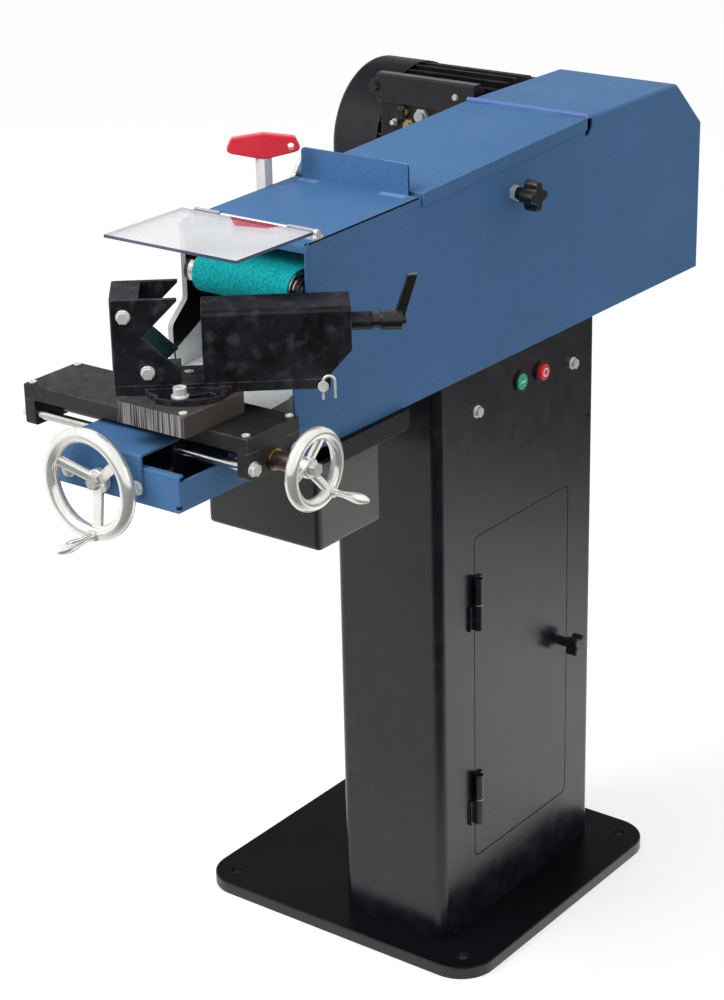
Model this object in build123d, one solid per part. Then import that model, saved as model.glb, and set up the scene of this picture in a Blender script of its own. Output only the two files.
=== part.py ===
from build123d import *
import os
from math import asin, atan2, cos, degrees, radians, sin, sqrt

# Abrasive pipe notcher: a belt grinder head on a column, with a swivelling pipe vise on a two-way slide.
# Frame: origin at the centre of the base plate's underside, +Z up, the operator stands at -Y.

# Fits and gaps
running_clearance = 0.05
moving_gap = 0.3
seat_gap = 0.5
fixed_gap = 0.1

# Base plate
base_width = 500.0
base_depth = 506.0
base_thickness = 18.0
base_corner_radius = 55.0
base_edge_break = 1.5
anchor_hole_diameter = 18.0
anchor_spacing_x = 420.0
anchor_spacing_y = 430.0

# Column
column_x = 77.5
column_y = -5.0
column_width = 179.0
column_depth = 395.0
column_height = 848.0
column_wall = 4.0
column_bend_radius = 14.0
spare_hole_radius = 2.5
spare_hole_inset = 19.0
spare_hole_drop = 147.5
cable_hole_diameter = 60.0

# Column door, hinges and latch
door_width = 240.0
door_height = 504.0
door_y = 1.0
door_bottom = 122.0
door_thickness = 3.0
door_gap = 1.5
door_corner_radius = 10.0
hinge_heights = (220.0, 528.0)
hinge_length = 78.0
hinge_radius = 6.5
hinge_pin_radius = 3.5
hinge_washer = 2.0
hinge_leaf_width = 15.0
hinge_leaf_thickness = 4.0
latch_height = 380.0
latch_inset = 12.0
latch_shaft_radius = 5.0
latch_standoff = 16.0
latch_cam_length = 30.0
latch_cam_width = 12.0
latch_cam_thickness = 3.0
latch_knob_radius = 17.0
latch_knob_length = 18.0
latch_knob_turn = 45.0
latch_collar = 2.0

# Star knobs, as shares of the knob's radius and of a lobe's radius
knob_lobe_share = 0.36
knob_core_share = 0.62
knob_hollow_share = 0.5
knob_edge_share = 0.3

# Push buttons
button_drop = 44.0
button_spacing = 51.0
button_row_y = 20.5
button_radius = 11.5
button_stem_radius = 6.0
button_bezel_radius = 15.0
button_bezel_height = 3.0
button_collar_wall = 1.6
button_edge_round = 1.4
button_travel = 4.0
start_button_proud = 5.0
stop_button_proud = 9.0
switch_block_depth = 44.0
switch_block_height = 42.0
switch_block_margin = 22.0

# Head: outline in the YZ plane
head_width = 200.0
head_height = 294.0
head_front_y = -503.6
head_recess_y = -473.0
head_back_y = 480.0
head_rear_top_y = 405.0
head_slant_drop = 71.0
lid_joint_y = 160.0
stop_y = -237.0
step_low_height = 139.0
step_high_height = 166.0
step_radius = 11.0
front_lid_drop_front = 28.0
front_lid_drop_rear = 22.5
rear_lid_drop_front = 19.0
frame_plate = 8.0
frame_floor = 6.0
cover_sheet = 3.0
cover_bend_radius = 4.0
front_plate_height = 79.7
tongue_thickness = 6.0
tongue_depth = 76.0
tongue_width = 50.0
mount_bolt_spacing = 242.0
mount_bolt_y = 9.0
mount_bolt_drop = 56.0

# Lids, work stop and shield
lid_sheet = 2.5
lid_gap = 2.5
lid_lip = 12.0
lid_lip_radius = 6.0
rear_lid_flange = 17.0
rear_lid_lip = 9.6
lid_knuckle_radius = 3.4
lid_pin_radius = 1.8
lid_knuckle_share = 0.6
pin_notch_radius = 18.0
pin_notch_drop = 9.0
stop_height = 41.0
stop_inset_left = 13.0
stop_inset_right = 15.0
shield_width = 207.0
shield_reach = 150.0
shield_thickness = 4.0
shield_left_overhang = 12.0
shield_rod_radius = 2.5
shield_knuckle_radius = 4.2
shield_knuckle_length = 40.0
shield_rod_inset = 26.0
shield_post_thickness = 6.0
shield_strip_width = 18.0
shield_strip_thickness = 3.0

# Belt drive
belt_left_room = 36.0
belt_right_room = 14.0
belt_thickness = 1.6
roller_y = -470.0
roller_rise = 206.0
roller_radius = 23.2
roller_hub_radius = 16.0
roller_hub_left = 13.0
roller_hub_right = 1.0
roller_face_margin = 2.0
roller_axle_radius = 8.5
roller_bore_gap = 1.0
bearing_width = 12.0
drive_y = 315.0
drive_drop = 24.0
drive_radius = 100.0
tyre_thickness = 10.0
drive_rim_thickness = 10.0
drive_web_thickness = 16.0
drive_hub_radius = 30.0
drive_hub_length = 110.0
shaft_radius = 14.0

# Platen under the upper belt run
platen_length = 330.0
platen_y = -40.0
platen_thickness = 8.0
platen_rib_depth = 26.0
platen_rib_thickness = 10.0

# Roller fork, tension guide and tension lever
fork_arm_thickness = 5.0
fork_arm_height = 32.0
fork_arm_gap = 1.0
fork_bar_y = -341.0
fork_bar_depth = 22.0
fork_bar_height = 36.0
fork_bar_drop = 14.0
fork_tail_y = -246.0
fork_shank_radius = 12.5
fork_shank_end_y = -140.0
fork_travel = 10.0
guide_y = -205.0
guide_depth = 40.0
guide_height = 46.0
guide_inset = 3.0
lever_pivot_y = -262.0
lever_pivot_rise = 24.0
lever_dog_drop = 28.0
lever_top_y = -220.0
lever_top_rise = 62.0
lever_width = 18.0
lever_thickness = 6.0
lever_pivot_radius = 6.0
lever_dog_radius = 5.0
lever_slot_margin = 2.5

# Tracking knob
tracking_y = -24.0
tracking_height = 229.0
tracking_screw_radius = 6.0
tracking_collar_radius = 9.0
tracking_screw_inside = 8.0
tracking_nut_flats = 19.0
tracking_nut_height = 8.0
tracking_knob_radius = 21.0
tracking_knob_length = 20.0
tracking_knob_standoff = 22.0

# Motor
motor_length = 193.0
motor_wall = 5.0
motor_bore_radius = 96.0
motor_fin_radius = 116.0
motor_fin_thickness = 3.4
motor_fin_count = 36
shield_plate = 14.0
motor_bearing_radius = 31.0
plate_bore_radius = 60.0
stator_length = 130.0
stator_bore_radius = 56.0
rotor_radius = 55.2
cowl_length = 72.0
cowl_wall = 2.0
cowl_overlap = 13.0
cowl_bend_radius = 10.4
cowl_slot_count = 16
cowl_slot_inner = 34.0
cowl_slot_outer = 96.0
cowl_slot_width = 7.0
fan_radius = 86.0
fan_disc = 4.0
fan_width = 24.0
fan_blades = 8
fan_inset = 12.0
terminal_width = 166.0
terminal_right_inset = 14.0
terminal_front_y = 194.0
terminal_depth = 72.0
terminal_top_depth = 18.0
terminal_rise = 18.0
terminal_height = 108.0
terminal_wall = 3.0
terminal_lid_thickness = 4.0
terminal_lid_height = 42.0
terminal_lid_lip = 12.0
terminal_lid_margin = 4.0
terminal_lid_round = 3.2
terminal_lug_radius = 13.0
terminal_lug_drop = 21.0
terminal_bolt_offset = 4.3
terminal_screw_inset = 33.0
gland_insets = (54.0, 28.0, 76.0, 41.0)
gland_drops = (30.0, 28.0, 14.0, 12.0)
gland_radii = (8.0, 4.5, 10.0, 9.0)
gland_length = 12.0
gland_neck_share = 0.8

# Hex key in its square holder
key_y = -294.0
key_tube = 15.0
key_tube_wall = 1.6
key_tube_length = 112.0
key_tube_over = 12.0
key_shaft_flats = 8.0
key_shaft_length = 96.0
key_grip_length = 97.0
key_grip_height = 33.0
key_grip_thickness = 13.0
key_grip_end_height = 22.0
key_grip_end_taper = 7.3
key_grip_shoulder_height = 27.5
key_grip_round = 4.5
key_grip_hole = 4.5
key_grip_hole_inset = 13.0
key_grip_hole_height = 15.4
key_grip_edge_round = 2.0
key_grip_turn = 40.0

# Spark chute and spark box
chute_sheet = 1.5
chute_lip_y = -545.0
chute_back_y = -440.0
chute_side_margin = 3.0
chute_rise = 8.0
chute_wall_height = 50.0
box_front_y = -462.0
box_length = 132.0
box_height = 120.0
box_wall = 2.0
box_inset = 1.0
box_lip = 7.0
box_corner_radius = 8.0
box_bottom_radius = 6.0
rail_front_y = -440.0
rail_rear_y = -281.0
rail_height = 26.0
rail_sheet = 4.0
rail_flange = 30.0
rail_corner_radius = 10.0

# Feed: tray, saddle, rods, screw and carriage
feed_x = 69.0
feed_axis_rise = 33.0
tray_front_y = -741.0
tray_left_x = -14.0
tray_right_x = 184.0
tray_bottom_drop = 20.4
tray_front_height = 46.0
tray_side_height = 38.0
tray_sheet = 3.0
tray_lip = 8.5
tray_notch = 6.0
tray_bend_radius = 4.0
tray_edge_radius = 2.4
saddle_width = 122.0
saddle_rise = 41.5
saddle_depth = 70.0
saddle_tab = 15.0
saddle_corner_radius = 13.5
feed_rod_radius = 8.0
feed_rod_spacing = 106.0
feed_screw_radius = 7.0
feed_screw_end_y = -535.0
screw_nut_radius = 8.2
screw_nut_length = 40.0
carriage_width = 130.0
carriage_depth = 100.0
carriage_edge_break = 2.0
carriage_floor_gap = 3.4
carriage_top_gap = 0.6
rod_bolt_radius = 4.0
rod_bolt_flats = 13.0
rod_bolt_head = 5.5
rod_washer_radius = 9.0
rod_washer_thickness = 1.6

# Cross slide
table_y = -641.0
table_rise = 26.5
table_length = 352.0
table_depth = 96.0
table_thickness = 19.0
table_edge_break = 1.0
end_block_thickness = 16.0
end_block_height = 33.0
end_block_corner_radius = 4.0
cross_axis_drop = 39.0
cross_rod_radius = 6.0
cross_rod_spacing = 78.0
cross_rod_inset = 8.0
cross_screw_radius = 7.0
bush_radius = 11.0
bush_flange_radius = 13.0
bush_flange = 3.0
sleeve_radius = 11.0
corner_screw_radius = 5.0
corner_screw_height = 2.0
corner_screw_inset = 8.0

# Handwheels
front_wheel_radius = 69.5
front_wheel_rim = 9.2
front_wheel_hub_radius = 15.0
front_wheel_plane_y = -768.0
right_wheel_radius = 50.5
right_wheel_rim = 7.8
right_wheel_hub_radius = 12.5
right_wheel_plane_x = 304.0
wheel_hub_length = 22.0
wheel_hub_round = 1.8
front_wheel_setback = 11.0
right_wheel_setback = 3.5
wheel_rim_seam = 200.0
wheel_boss_share = 1.3
wheel_boss_drop_share = 0.2
wheel_boss_rise_share = 1.2
wheel_spoke_width_share = 0.9
wheel_spoke_depth_share = 0.65
wheel_spoke_round_share = 0.9
wheel_spoke_count = 3
wheel_first_spoke = 30.0
front_wheel_turn = 278.0
right_wheel_turn = 36.0
wheel_nut_flats = 15.0
wheel_nut_height = 9.0
front_handle_length = 57.0
right_handle_length = 49.0
handle_foot_share = 0.1
handle_neck_share = 0.078
handle_neck_place = 0.2
handle_belly_share = 0.132
handle_belly_place = 0.64
handle_tip_share = 0.06

# Swivel block, swivel plate and vise
pivot_x = 128.7
pivot_y = -652.6
vise_turn = 40.0
block_x = 133.5
block_y = -673.5
block_width = 103.0
block_depth = 107.0
block_height = 26.0
block_screw_inset = 9.0
pivot_pin_radius = 6.0
swivel_radius = 51.5
sector_radius = 57.0
sector_from = -133.0
sector_to = -44.0
swivel_thickness = 7.0
slot_radius = 45.0
slot_width = 11.0
slot_from = -119.0
slot_to = -50.0
slot_screw_angle = -102.0
slot_screw_radius = 5.0
slot_screw_head_radius = 8.0
slot_screw_head = 10.0
slot_washer_radius = 10.5
slot_washer_thickness = 2.5
bar_from = -85.0
bar_to = 148.0
bar_thickness = 5.0
bar_lug = 18.0
jaw_front = -12.7
jaw_depth = 67.0
fixed_jaw_left = -87.0
fixed_jaw_right = -9.0
fixed_jaw_height = 104.1
fixed_jaw_sheet = 5.0
fixed_jaw_depth = 80.0
fixed_jaw_bend = 4.5
fixed_jaw_roof = 34.0
vee_depth = 42.0
vee_front_share = 0.67
vee_rear_share = 0.95
moving_jaw_left = 18.0
moving_jaw_length = 174.0
moving_jaw_height = 86.7
moving_jaw_sheet = 4.0
moving_jaw_bend = 6.0
moving_jaw_cut_length = 34.0
moving_jaw_cut_height = 34.0
clamp_axis_rise = 59.0
clamp_spindle_radius = 6.0
clamp_post_from = 108.0
clamp_post_length = 20.0
clamp_post_width = 30.0
clamp_post_over = 14.0
clamp_spindle_inner = 90.0
clamp_sleeve_length = 26.0
clamp_sleeve_radius = 10.8
clamp_neck_length = 9.0
clamp_neck_radius = 9.0
clamp_hub_length = 26.0
clamp_hub_radius = 11.8
clamp_hub_round = 1.6
clamp_cap_length = 4.0
clamp_cap_radius = 6.4
clamp_arm_rise = 55.0
clamp_arm_lean = 18.0
clamp_arm_root = 12.5
clamp_arm_tip = 11.0
clamp_arm_thickness = 9.0
clamp_arm_round = 4.0
clamp_arm_place = 0.8
jaw_pin_radius = 4.0
jaw_pin_proud = 9.0
jaw_pin_tail = 3.0
jaw_pin_head_radius = 6.4
clip_wire_radius = 1.6
clip_leg_spacing = 14.0
clip_leg_length = 18.0

# Derived places shared by several pieces
column_right_x = column_x + column_width / 2
column_left_x = column_x - column_width / 2
head_bottom_z = base_thickness + column_height
head_top_z = head_bottom_z + head_height
head_right_x = column_right_x
head_left_x = head_right_x - head_width
plate_inner_x = head_left_x + frame_plate
panel_inner_x = head_right_x - cover_sheet
belt_width = head_width - belt_left_room - belt_right_room
belt_x = head_left_x + belt_left_room + belt_width / 2
belt_inner_gap = moving_gap
button_height = head_bottom_z - button_drop
roller_z = head_bottom_z + roller_rise
drive_z = roller_z - drive_drop
fork_bar_z = roller_z - fork_bar_drop
lever_pivot_z = roller_z + lever_pivot_rise
lever_top_z = lever_pivot_z + lever_top_rise
terminal_bottom_z = drive_z + terminal_rise
terminal_top_z = terminal_bottom_z + terminal_height
key_tube_top_z = head_top_z + key_tube_over
feed_axis_z = head_bottom_z + feed_axis_rise
tray_bottom_z = feed_axis_z - tray_bottom_drop
saddle_top_z = feed_axis_z + saddle_rise
table_top_z = saddle_top_z + table_rise
cross_axis_z = table_top_z - cross_axis_drop
table_bottom_z = table_top_z - table_thickness
block_top_z = table_top_z + block_height
swivel_bottom_z = block_top_z + moving_gap
swivel_top_z = swivel_bottom_z + swivel_thickness
bar_top_z = swivel_top_z + bar_thickness
fixed_jaw_top = bar_top_z + fixed_jaw_height
moving_jaw_top = bar_top_z + moving_jaw_height
clamp_axis_z = bar_top_z + clamp_axis_rise
latch_y = door_y + door_width / 2 - latch_inset
hinge_axis_x = column_right_x + hinge_radius + seat_gap
hinge_axis_y = door_y - door_width / 2 - door_gap / 2
joint_axis_z = head_top_z + lid_knuckle_radius / 2
shield_axis_y = head_recess_y + shield_rod_inset
motor_back_x = head_left_x - shield_plate - motor_length
rail_bottom_z = head_bottom_z - rail_height


def block(xs, ys, zs):
    """A box between two corners, given as its spans along X, Y and Z."""
    spans = (xs, ys, zs)
    centre = [(low + high) / 2 for low, high in spans]
    size = [high - low for low, high in spans]
    return Pos(*centre) * Box(*size)


def along(axis, span, at, shape):
    """Place a shape that stands along Z so that it runs along an axis, at the other two places."""
    middle = (span[0] + span[1]) / 2
    if axis == "x":
        return Pos(middle, at[0], at[1]) * Rot(0, 90, 0) * shape
    if axis == "y":
        return Pos(at[0], middle, at[1]) * Rot(-90, 0, 0) * shape
    return Pos(at[0], at[1], middle) * shape


def rod(axis, span, at, radius):
    """A round bar along an axis."""
    return along(axis, span, at, Cylinder(radius, span[1] - span[0]))


def tube(axis, span, at, outer, inner):
    """A round tube along an axis."""
    return rod(axis, span, at, outer) - rod(axis, span, at, inner)


def hex_bar(axis, span, at, flats):
    """A hexagonal bar along an axis."""
    section = RegularPolygon(flats / sqrt(3), 6)
    length = span[1] - span[0]
    return along(axis, span, at, Pos(0, 0, -length / 2) * extrude(section, length))


def prism_x(points, xs, corners=()):
    """A YZ outline extruded along X, with some corners rounded: pairs of corner index and radius."""
    face = make_face(Polyline(*points, close=True))
    for index, radius in corners:
        corner = face.vertices().sort_by_distance(Vector(*points[index]))[0]
        face = fillet(corner, radius)
    return extrude(Plane.YZ.offset(xs[0]) * face, xs[1] - xs[0])


def rounded_block(xs, ys, zs, radius):
    """A box with its four upright edges rounded."""
    return fillet(block(xs, ys, zs).edges().filter_by(Axis.Z), radius)


def skin_z(y):
    """Height of the head's upper skin above the base at a place along Y."""
    if y >= lid_joint_y:
        return head_top_z
    if y >= stop_y:
        share = (y - stop_y) / (lid_joint_y - stop_y)
        return head_top_z - rear_lid_drop_front * (1 - share)
    share = (y - head_recess_y) / (stop_y - head_recess_y)
    return head_top_z - front_lid_drop_front + (front_lid_drop_front - front_lid_drop_rear) * share


def in_vise(shape):
    """Turn a shape from the vise's own U, V, Z directions about the swivel pivot."""
    return Pos(pivot_x, pivot_y, 0) * Rot(0, 0, vise_turn) * shape


def star_knob(radius, length, lobes=4):
    """A lobed knob standing on the XY plane."""
    lobe_radius = radius * knob_lobe_share
    reach = radius - lobe_radius
    face = Sketch() + Circle(radius * knob_core_share)
    for number in range(lobes):
        angle = radians(number * 360 / lobes)
        face += Pos(reach * cos(angle), reach * sin(angle)) * Circle(lobe_radius)
    face = fillet(face.vertices(), lobe_radius * knob_hollow_share)
    body = extrude(face, length)
    return fillet(body.edges().group_by(Axis.Z)[-1], lobe_radius * knob_edge_share)


def make_base_plate():
    half_x = base_width / 2
    half_y = base_depth / 2
    plate = rounded_block((-half_x, half_x), (-half_y, half_y), (0, base_thickness), base_corner_radius)
    plate = chamfer(plate.edges().group_by(Axis.Z)[-1], base_edge_break)
    for place in GridLocations(anchor_spacing_x, anchor_spacing_y, 2, 2):
        at = (place.position.X, place.position.Y)
        plate -= rod("z", (-base_thickness, 2 * base_thickness), at, anchor_hole_diameter / 2)
    return plate


def hinge_half(z_low, z_high, direction):
    """Half a weld-on hinge: barrel and leaf, with the leaf towards +Y or -Y."""
    leaf_end = hinge_axis_y + direction * hinge_leaf_width
    ys = (min(hinge_axis_y, leaf_end), max(hinge_axis_y, leaf_end))
    leaf = block((column_right_x, column_right_x + hinge_leaf_thickness), ys, (z_low, z_high))
    return leaf + rod("z", (z_low, z_high), (hinge_axis_x, hinge_axis_y), hinge_radius)


def button_places():
    """Y of the start and the stop button."""
    return (button_row_y - button_spacing / 2, button_row_y + button_spacing / 2)


def make_column():
    xs = (column_left_x, column_right_x)
    ys = (column_y - column_depth / 2, column_y + column_depth / 2)
    shell = rounded_block(xs, ys, (base_thickness, head_bottom_z), column_bend_radius)
    inner_xs = (xs[0] + column_wall, xs[1] - column_wall)
    inner_ys = (ys[0] + column_wall, ys[1] - column_wall)
    inner_zs = (base_thickness - column_wall, head_bottom_z - column_wall)
    shell -= rounded_block(inner_xs, inner_ys, inner_zs, column_bend_radius - column_wall)
    # Door opening, with the door gap all round
    half = door_width / 2 + door_gap
    opening = block((xs[1] - 2 * column_wall, xs[1] + column_wall), (door_y - half, door_y + half),
                    (door_bottom - door_gap, door_bottom + door_height + door_gap))
    shell -= fillet(opening.edges().filter_by(Axis.X), door_corner_radius + door_gap)
    # Button holes, mounting bolt holes, a spare hole and the cable way into the head
    for y in button_places():
        shell -= rod("x", (xs[1] - 2 * column_wall, xs[1] + column_wall), (y, button_height),
                     button_radius + running_clearance + button_collar_wall)
    for y in mount_bolt_places():
        shell -= rod("x", (xs[0] - column_wall, xs[1] + column_wall),
                     (y, head_bottom_z - mount_bolt_drop), rod_bolt_radius)
    shell -= rod("x", (xs[1] - 2 * column_wall, xs[1] + column_wall),
                 (ys[1] - spare_hole_inset, head_bottom_z - spare_hole_drop), spare_hole_radius)
    shell -= rod("z", (head_bottom_z - 2 * column_wall, head_bottom_z + column_wall),
                 (column_x, column_y), cable_hole_diameter / 2)
    for side in (xs[0] + column_wall, xs[1] - column_wall - tongue_thickness):
        for y in mount_bolt_places():
            shell -= block((side, side + tongue_thickness), (y - tongue_width / 2, y + tongue_width / 2),
                           (head_bottom_z - 2 * column_wall, head_bottom_z + column_wall))
    # Lower hinge halves with their pins
    for z in hinge_heights:
        shell += hinge_half(z - hinge_length / 2, z - hinge_washer / 2, -1)
        shell += rod("z", (z - hinge_length / 2, z + hinge_length / 2 - hinge_washer),
                     (hinge_axis_x, hinge_axis_y), hinge_pin_radius)
    return shell


def make_door():
    xs = (column_right_x - door_thickness, column_right_x)
    ys = (door_y - door_width / 2, door_y + door_width / 2)
    plate = block(xs, ys, (door_bottom, door_bottom + door_height))
    plate = fillet(plate.edges().filter_by(Axis.X), door_corner_radius)
    for z in hinge_heights:
        plate += hinge_half(z + hinge_washer / 2, z + hinge_length / 2, 1)
        plate -= rod("z", (z, z + hinge_length), (hinge_axis_x, hinge_axis_y),
                     hinge_pin_radius + running_clearance)
    plate -= rod("x", (xs[0] - door_thickness, xs[1] + door_thickness), (latch_y, latch_height),
                 latch_shaft_radius + running_clearance)
    return plate


def make_door_knob():
    knob_base = column_right_x + latch_standoff
    cam_outer = column_right_x - column_wall - seat_gap
    cam_inner = cam_outer - latch_cam_thickness
    knob = Pos(knob_base, latch_y, latch_height) * Rot(0, 90, 0) * Rot(0, 0, latch_knob_turn)
    knob = knob * star_knob(latch_knob_radius, latch_knob_length)
    knob += rod("x", (cam_inner, knob_base + seat_gap), (latch_y, latch_height), latch_shaft_radius)
    knob += rod("x", (column_right_x + moving_gap, knob_base), (latch_y, latch_height),
                latch_shaft_radius + latch_collar)
    knob += block((cam_inner, cam_outer), (latch_y - latch_cam_width / 2, latch_y + latch_cam_width / 2),
                  (latch_height - latch_cam_width / 2, latch_height + latch_cam_length))
    return knob


def make_switch_block():
    wall_inner = column_right_x - column_wall
    low_y, high_y = button_places()
    body = block((wall_inner - switch_block_depth, wall_inner),
                 (low_y - switch_block_margin, high_y + switch_block_margin),
                 (button_height - switch_block_height / 2, button_height + switch_block_height / 2))
    bore = button_radius + running_clearance
    for y in button_places():
        body += rod("x", (wall_inner, column_right_x), (y, button_height), bore + button_collar_wall)
        body += rod("x", (column_right_x, column_right_x + button_bezel_height), (y, button_height),
                    button_bezel_radius)
        deep = wall_inner - button_travel - seat_gap
        body -= rod("x", (deep, column_right_x + 2 * button_bezel_height), (y, button_height), bore)
        body -= rod("x", (wall_inner - switch_block_depth / 2, deep), (y, button_height),
                    button_stem_radius + running_clearance)
    return body


def make_button(y, proud):
    wall_inner = column_right_x - column_wall
    cap = rod("x", (wall_inner, column_right_x + proud), (y, button_height), button_radius)
    cap = fillet(cap.edges().group_by(Axis.X)[-1], button_edge_round)
    stem_end = wall_inner - switch_block_depth / 2 + button_travel + seat_gap
    return cap + rod("x", (stem_end, wall_inner), (y, button_height), button_stem_radius)


def mount_bolt_places():
    """Y of the bolts that hold the head's tongues in the column."""
    return (mount_bolt_y - mount_bolt_spacing / 2, mount_bolt_y + mount_bolt_spacing / 2)


def slant_points(inset):
    """Upper and lower YZ corner of the slanted rear edge, drawn in by a sheet thickness."""
    run = head_back_y - head_rear_top_y
    length = sqrt(run ** 2 + head_slant_drop ** 2)
    upper = (head_rear_top_y - inset * (length - run) / head_slant_drop, head_top_z - inset)
    lower = (head_back_y - inset, head_top_z - head_slant_drop - inset * (length - head_slant_drop) / run)
    return upper, lower


def head_outline(skin_drop, rear_inset):
    """YZ outline of a head side: skin_drop lowers the edge under the lids, rear_inset draws in the rear."""
    low = head_bottom_z
    upper, lower = slant_points(rear_inset)
    return [
        (head_front_y, low),
        (head_front_y, low + step_low_height),
        (head_recess_y, low + step_high_height),
        (head_recess_y, skin_z(head_recess_y) - skin_drop),
        (stop_y, head_top_z - front_lid_drop_rear - skin_drop),
        (stop_y, skin_z(stop_y) - skin_drop),
        (lid_joint_y, head_top_z - skin_drop),
        (lid_joint_y, head_top_z - rear_inset),
        upper,
        lower,
        (head_back_y - rear_inset, low),
    ]


def make_head_frame():
    drop = lid_sheet + moving_gap
    outline = head_outline(drop, cover_sheet)
    frame = prism_x(outline, (head_left_x, plate_inner_x), ((1, step_radius), (2, step_radius)))
    rear = head_back_y - cover_sheet
    frame += block((plate_inner_x, panel_inner_x), (head_front_y, rear),
                   (head_bottom_z, head_bottom_z + frame_floor))
    frame += block((plate_inner_x, panel_inner_x), (head_front_y, head_front_y + frame_floor),
                   (head_bottom_z, head_bottom_z + front_plate_height))
    # Guide for the fork's shank, carried by the side plate inside the belt loop
    guide_ys = (guide_y - guide_depth / 2, guide_y + guide_depth / 2)
    frame += block((plate_inner_x, belt_x + belt_width / 2 - guide_inset), guide_ys,
                   (fork_bar_z - guide_height / 2, fork_bar_z + guide_height / 2))
    frame -= rod("y", (guide_y - guide_depth, guide_y + guide_depth), (belt_x, fork_bar_z),
                 fork_shank_radius + running_clearance)
    # Bore for the motor's spigot and the openings of the tension lever
    through = (head_left_x - frame_plate, plate_inner_x + frame_plate)
    frame -= rod("x", through, (drive_y, drive_z), plate_bore_radius)
    frame -= rod("x", through, (lever_pivot_y, lever_pivot_z), lever_pivot_radius + running_clearance)
    dog_z = lever_pivot_z - lever_dog_drop
    slot_half = lever_dog_radius + lever_slot_margin
    frame -= block(through, (lever_pivot_y - slot_half, lever_pivot_y + slot_half + fork_travel),
                   (dog_z - slot_half, dog_z + slot_half))
    # Tongues that stand in the column
    for side in (column_left_x + column_wall, column_right_x - column_wall - tongue_thickness):
        for y in mount_bolt_places():
            tongue = block((side, side + tongue_thickness), (y - tongue_width / 2, y + tongue_width / 2),
                           (head_bottom_z - tongue_depth, head_bottom_z))
            frame += tongue - rod("x", (side - tongue_thickness, side + 2 * tongue_thickness),
                                  (y, head_bottom_z - mount_bolt_drop), rod_bolt_radius)
    frame -= rod("z", (head_bottom_z - frame_floor, head_bottom_z + 2 * frame_floor),
                 (column_x, column_y), cable_hole_diameter / 2)
    for rail in (make_rail(1), make_rail(-1)):
        frame += rail
    return frame


def box_sides():
    """X of the spark box's outer sides."""
    return (head_left_x + 2 * box_lip + box_inset, head_right_x - box_inset)


def make_rail(side):
    """Spark box rail on the right (1) or left (-1): top flange, outer wall and ledge."""
    sides = box_sides()
    wall = sides[1] if side > 0 else sides[0]

    def span(near, far):
        places = (wall + side * near, wall + side * far)
        return (min(places), max(places))

    outer = box_lip + rail_sheet
    ys = (rail_front_y, rail_rear_y)
    rail = block(span(outer - rail_flange, outer), ys, (head_bottom_z - rail_sheet, head_bottom_z))
    rail += block(span(box_lip + seat_gap, outer), ys, (rail_bottom_z, head_bottom_z))
    rail += block(span(seat_gap, outer), ys, (rail_bottom_z, rail_bottom_z + rail_sheet))
    # Rounded lower rear corner
    bend_y = rail_rear_y - rail_corner_radius
    bend_z = rail_bottom_z + rail_corner_radius
    corner = block(span(0, outer), (bend_y, rail_rear_y), (rail_bottom_z, bend_z))
    return rail - (corner - rod("x", span(0, outer), (bend_y, bend_z), rail_corner_radius))


def make_spark_box():
    xs = box_sides()
    ys = (box_front_y, box_front_y + box_length)
    top = rail_bottom_z + rail_sheet + moving_gap + box_wall
    zs = (top - box_height, top)
    body = rounded_block(xs, ys, zs, box_corner_radius)
    body = fillet(body.edges().group_by(Axis.Z)[0], box_bottom_radius)
    inner = rounded_block((xs[0] + box_wall, xs[1] - box_wall), (ys[0] + box_wall, ys[1] - box_wall),
                          (zs[0] + box_wall, zs[1] + box_wall), box_corner_radius - box_wall)
    inner = fillet(inner.edges().group_by(Axis.Z)[0], box_bottom_radius - box_wall)
    lip_ys = (ys[0] + box_corner_radius, ys[1] - box_corner_radius)
    lip_zs = (top - box_wall, top)
    body += block((xs[0] - box_lip, xs[0] + box_wall), lip_ys, lip_zs)
    body += block((xs[1] - box_wall, xs[1] + box_lip), lip_ys, lip_zs)
    return body - inner


def make_head_cover():
    outline = head_outline(lid_sheet + moving_gap, 0)
    panel = prism_x(outline, (panel_inner_x, head_right_x), ((1, step_radius), (2, step_radius)))
    front = lid_joint_y + lid_knuckle_radius
    upper, lower = slant_points(0)
    inner_upper, inner_lower = slant_points(cover_sheet)
    strip = [
        (front, head_top_z),
        upper,
        lower,
        (head_back_y, head_bottom_z),
        (head_back_y - cover_sheet, head_bottom_z),
        inner_lower,
        inner_upper,
        (front, head_top_z - cover_sheet),
    ]
    cover = panel + prism_x(strip, (head_left_x, head_right_x))
    bend = cover.edges().filter_by(Axis.Y).group_by(Axis.Z)[-1].sort_by(Axis.X)[-1]
    cover = fillet(bend, cover_bend_radius)
    # Round notch in the side panel under the end of the lid's hinge pin
    notch_xs = (panel_inner_x - cover_sheet, head_right_x + cover_sheet)
    notch_y = lid_joint_y - lid_knuckle_radius
    notch_z = head_top_z - pin_notch_drop
    notch_ys = (notch_y, notch_y + pin_notch_radius)
    corner = rod("x", notch_xs, (notch_y, notch_z), pin_notch_radius)
    cover -= corner & block(notch_xs, notch_ys, (notch_z - pin_notch_radius, notch_z))
    cover -= block(notch_xs, notch_ys, (notch_z, head_top_z - cover_sheet))
    cover += lid_knuckles((0, (1 - lid_knuckle_share) / 2))
    cover += lid_knuckles(((1 + lid_knuckle_share) / 2, 1))
    cover -= rod("x", (head_left_x - head_width, head_right_x + head_width), (lid_joint_y, joint_axis_z),
                 lid_pin_radius)
    cover -= rod("x", (panel_inner_x - cover_sheet, head_right_x + cover_sheet),
                 (tracking_y, head_bottom_z + tracking_height), tracking_screw_radius + running_clearance)
    return cover


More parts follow.
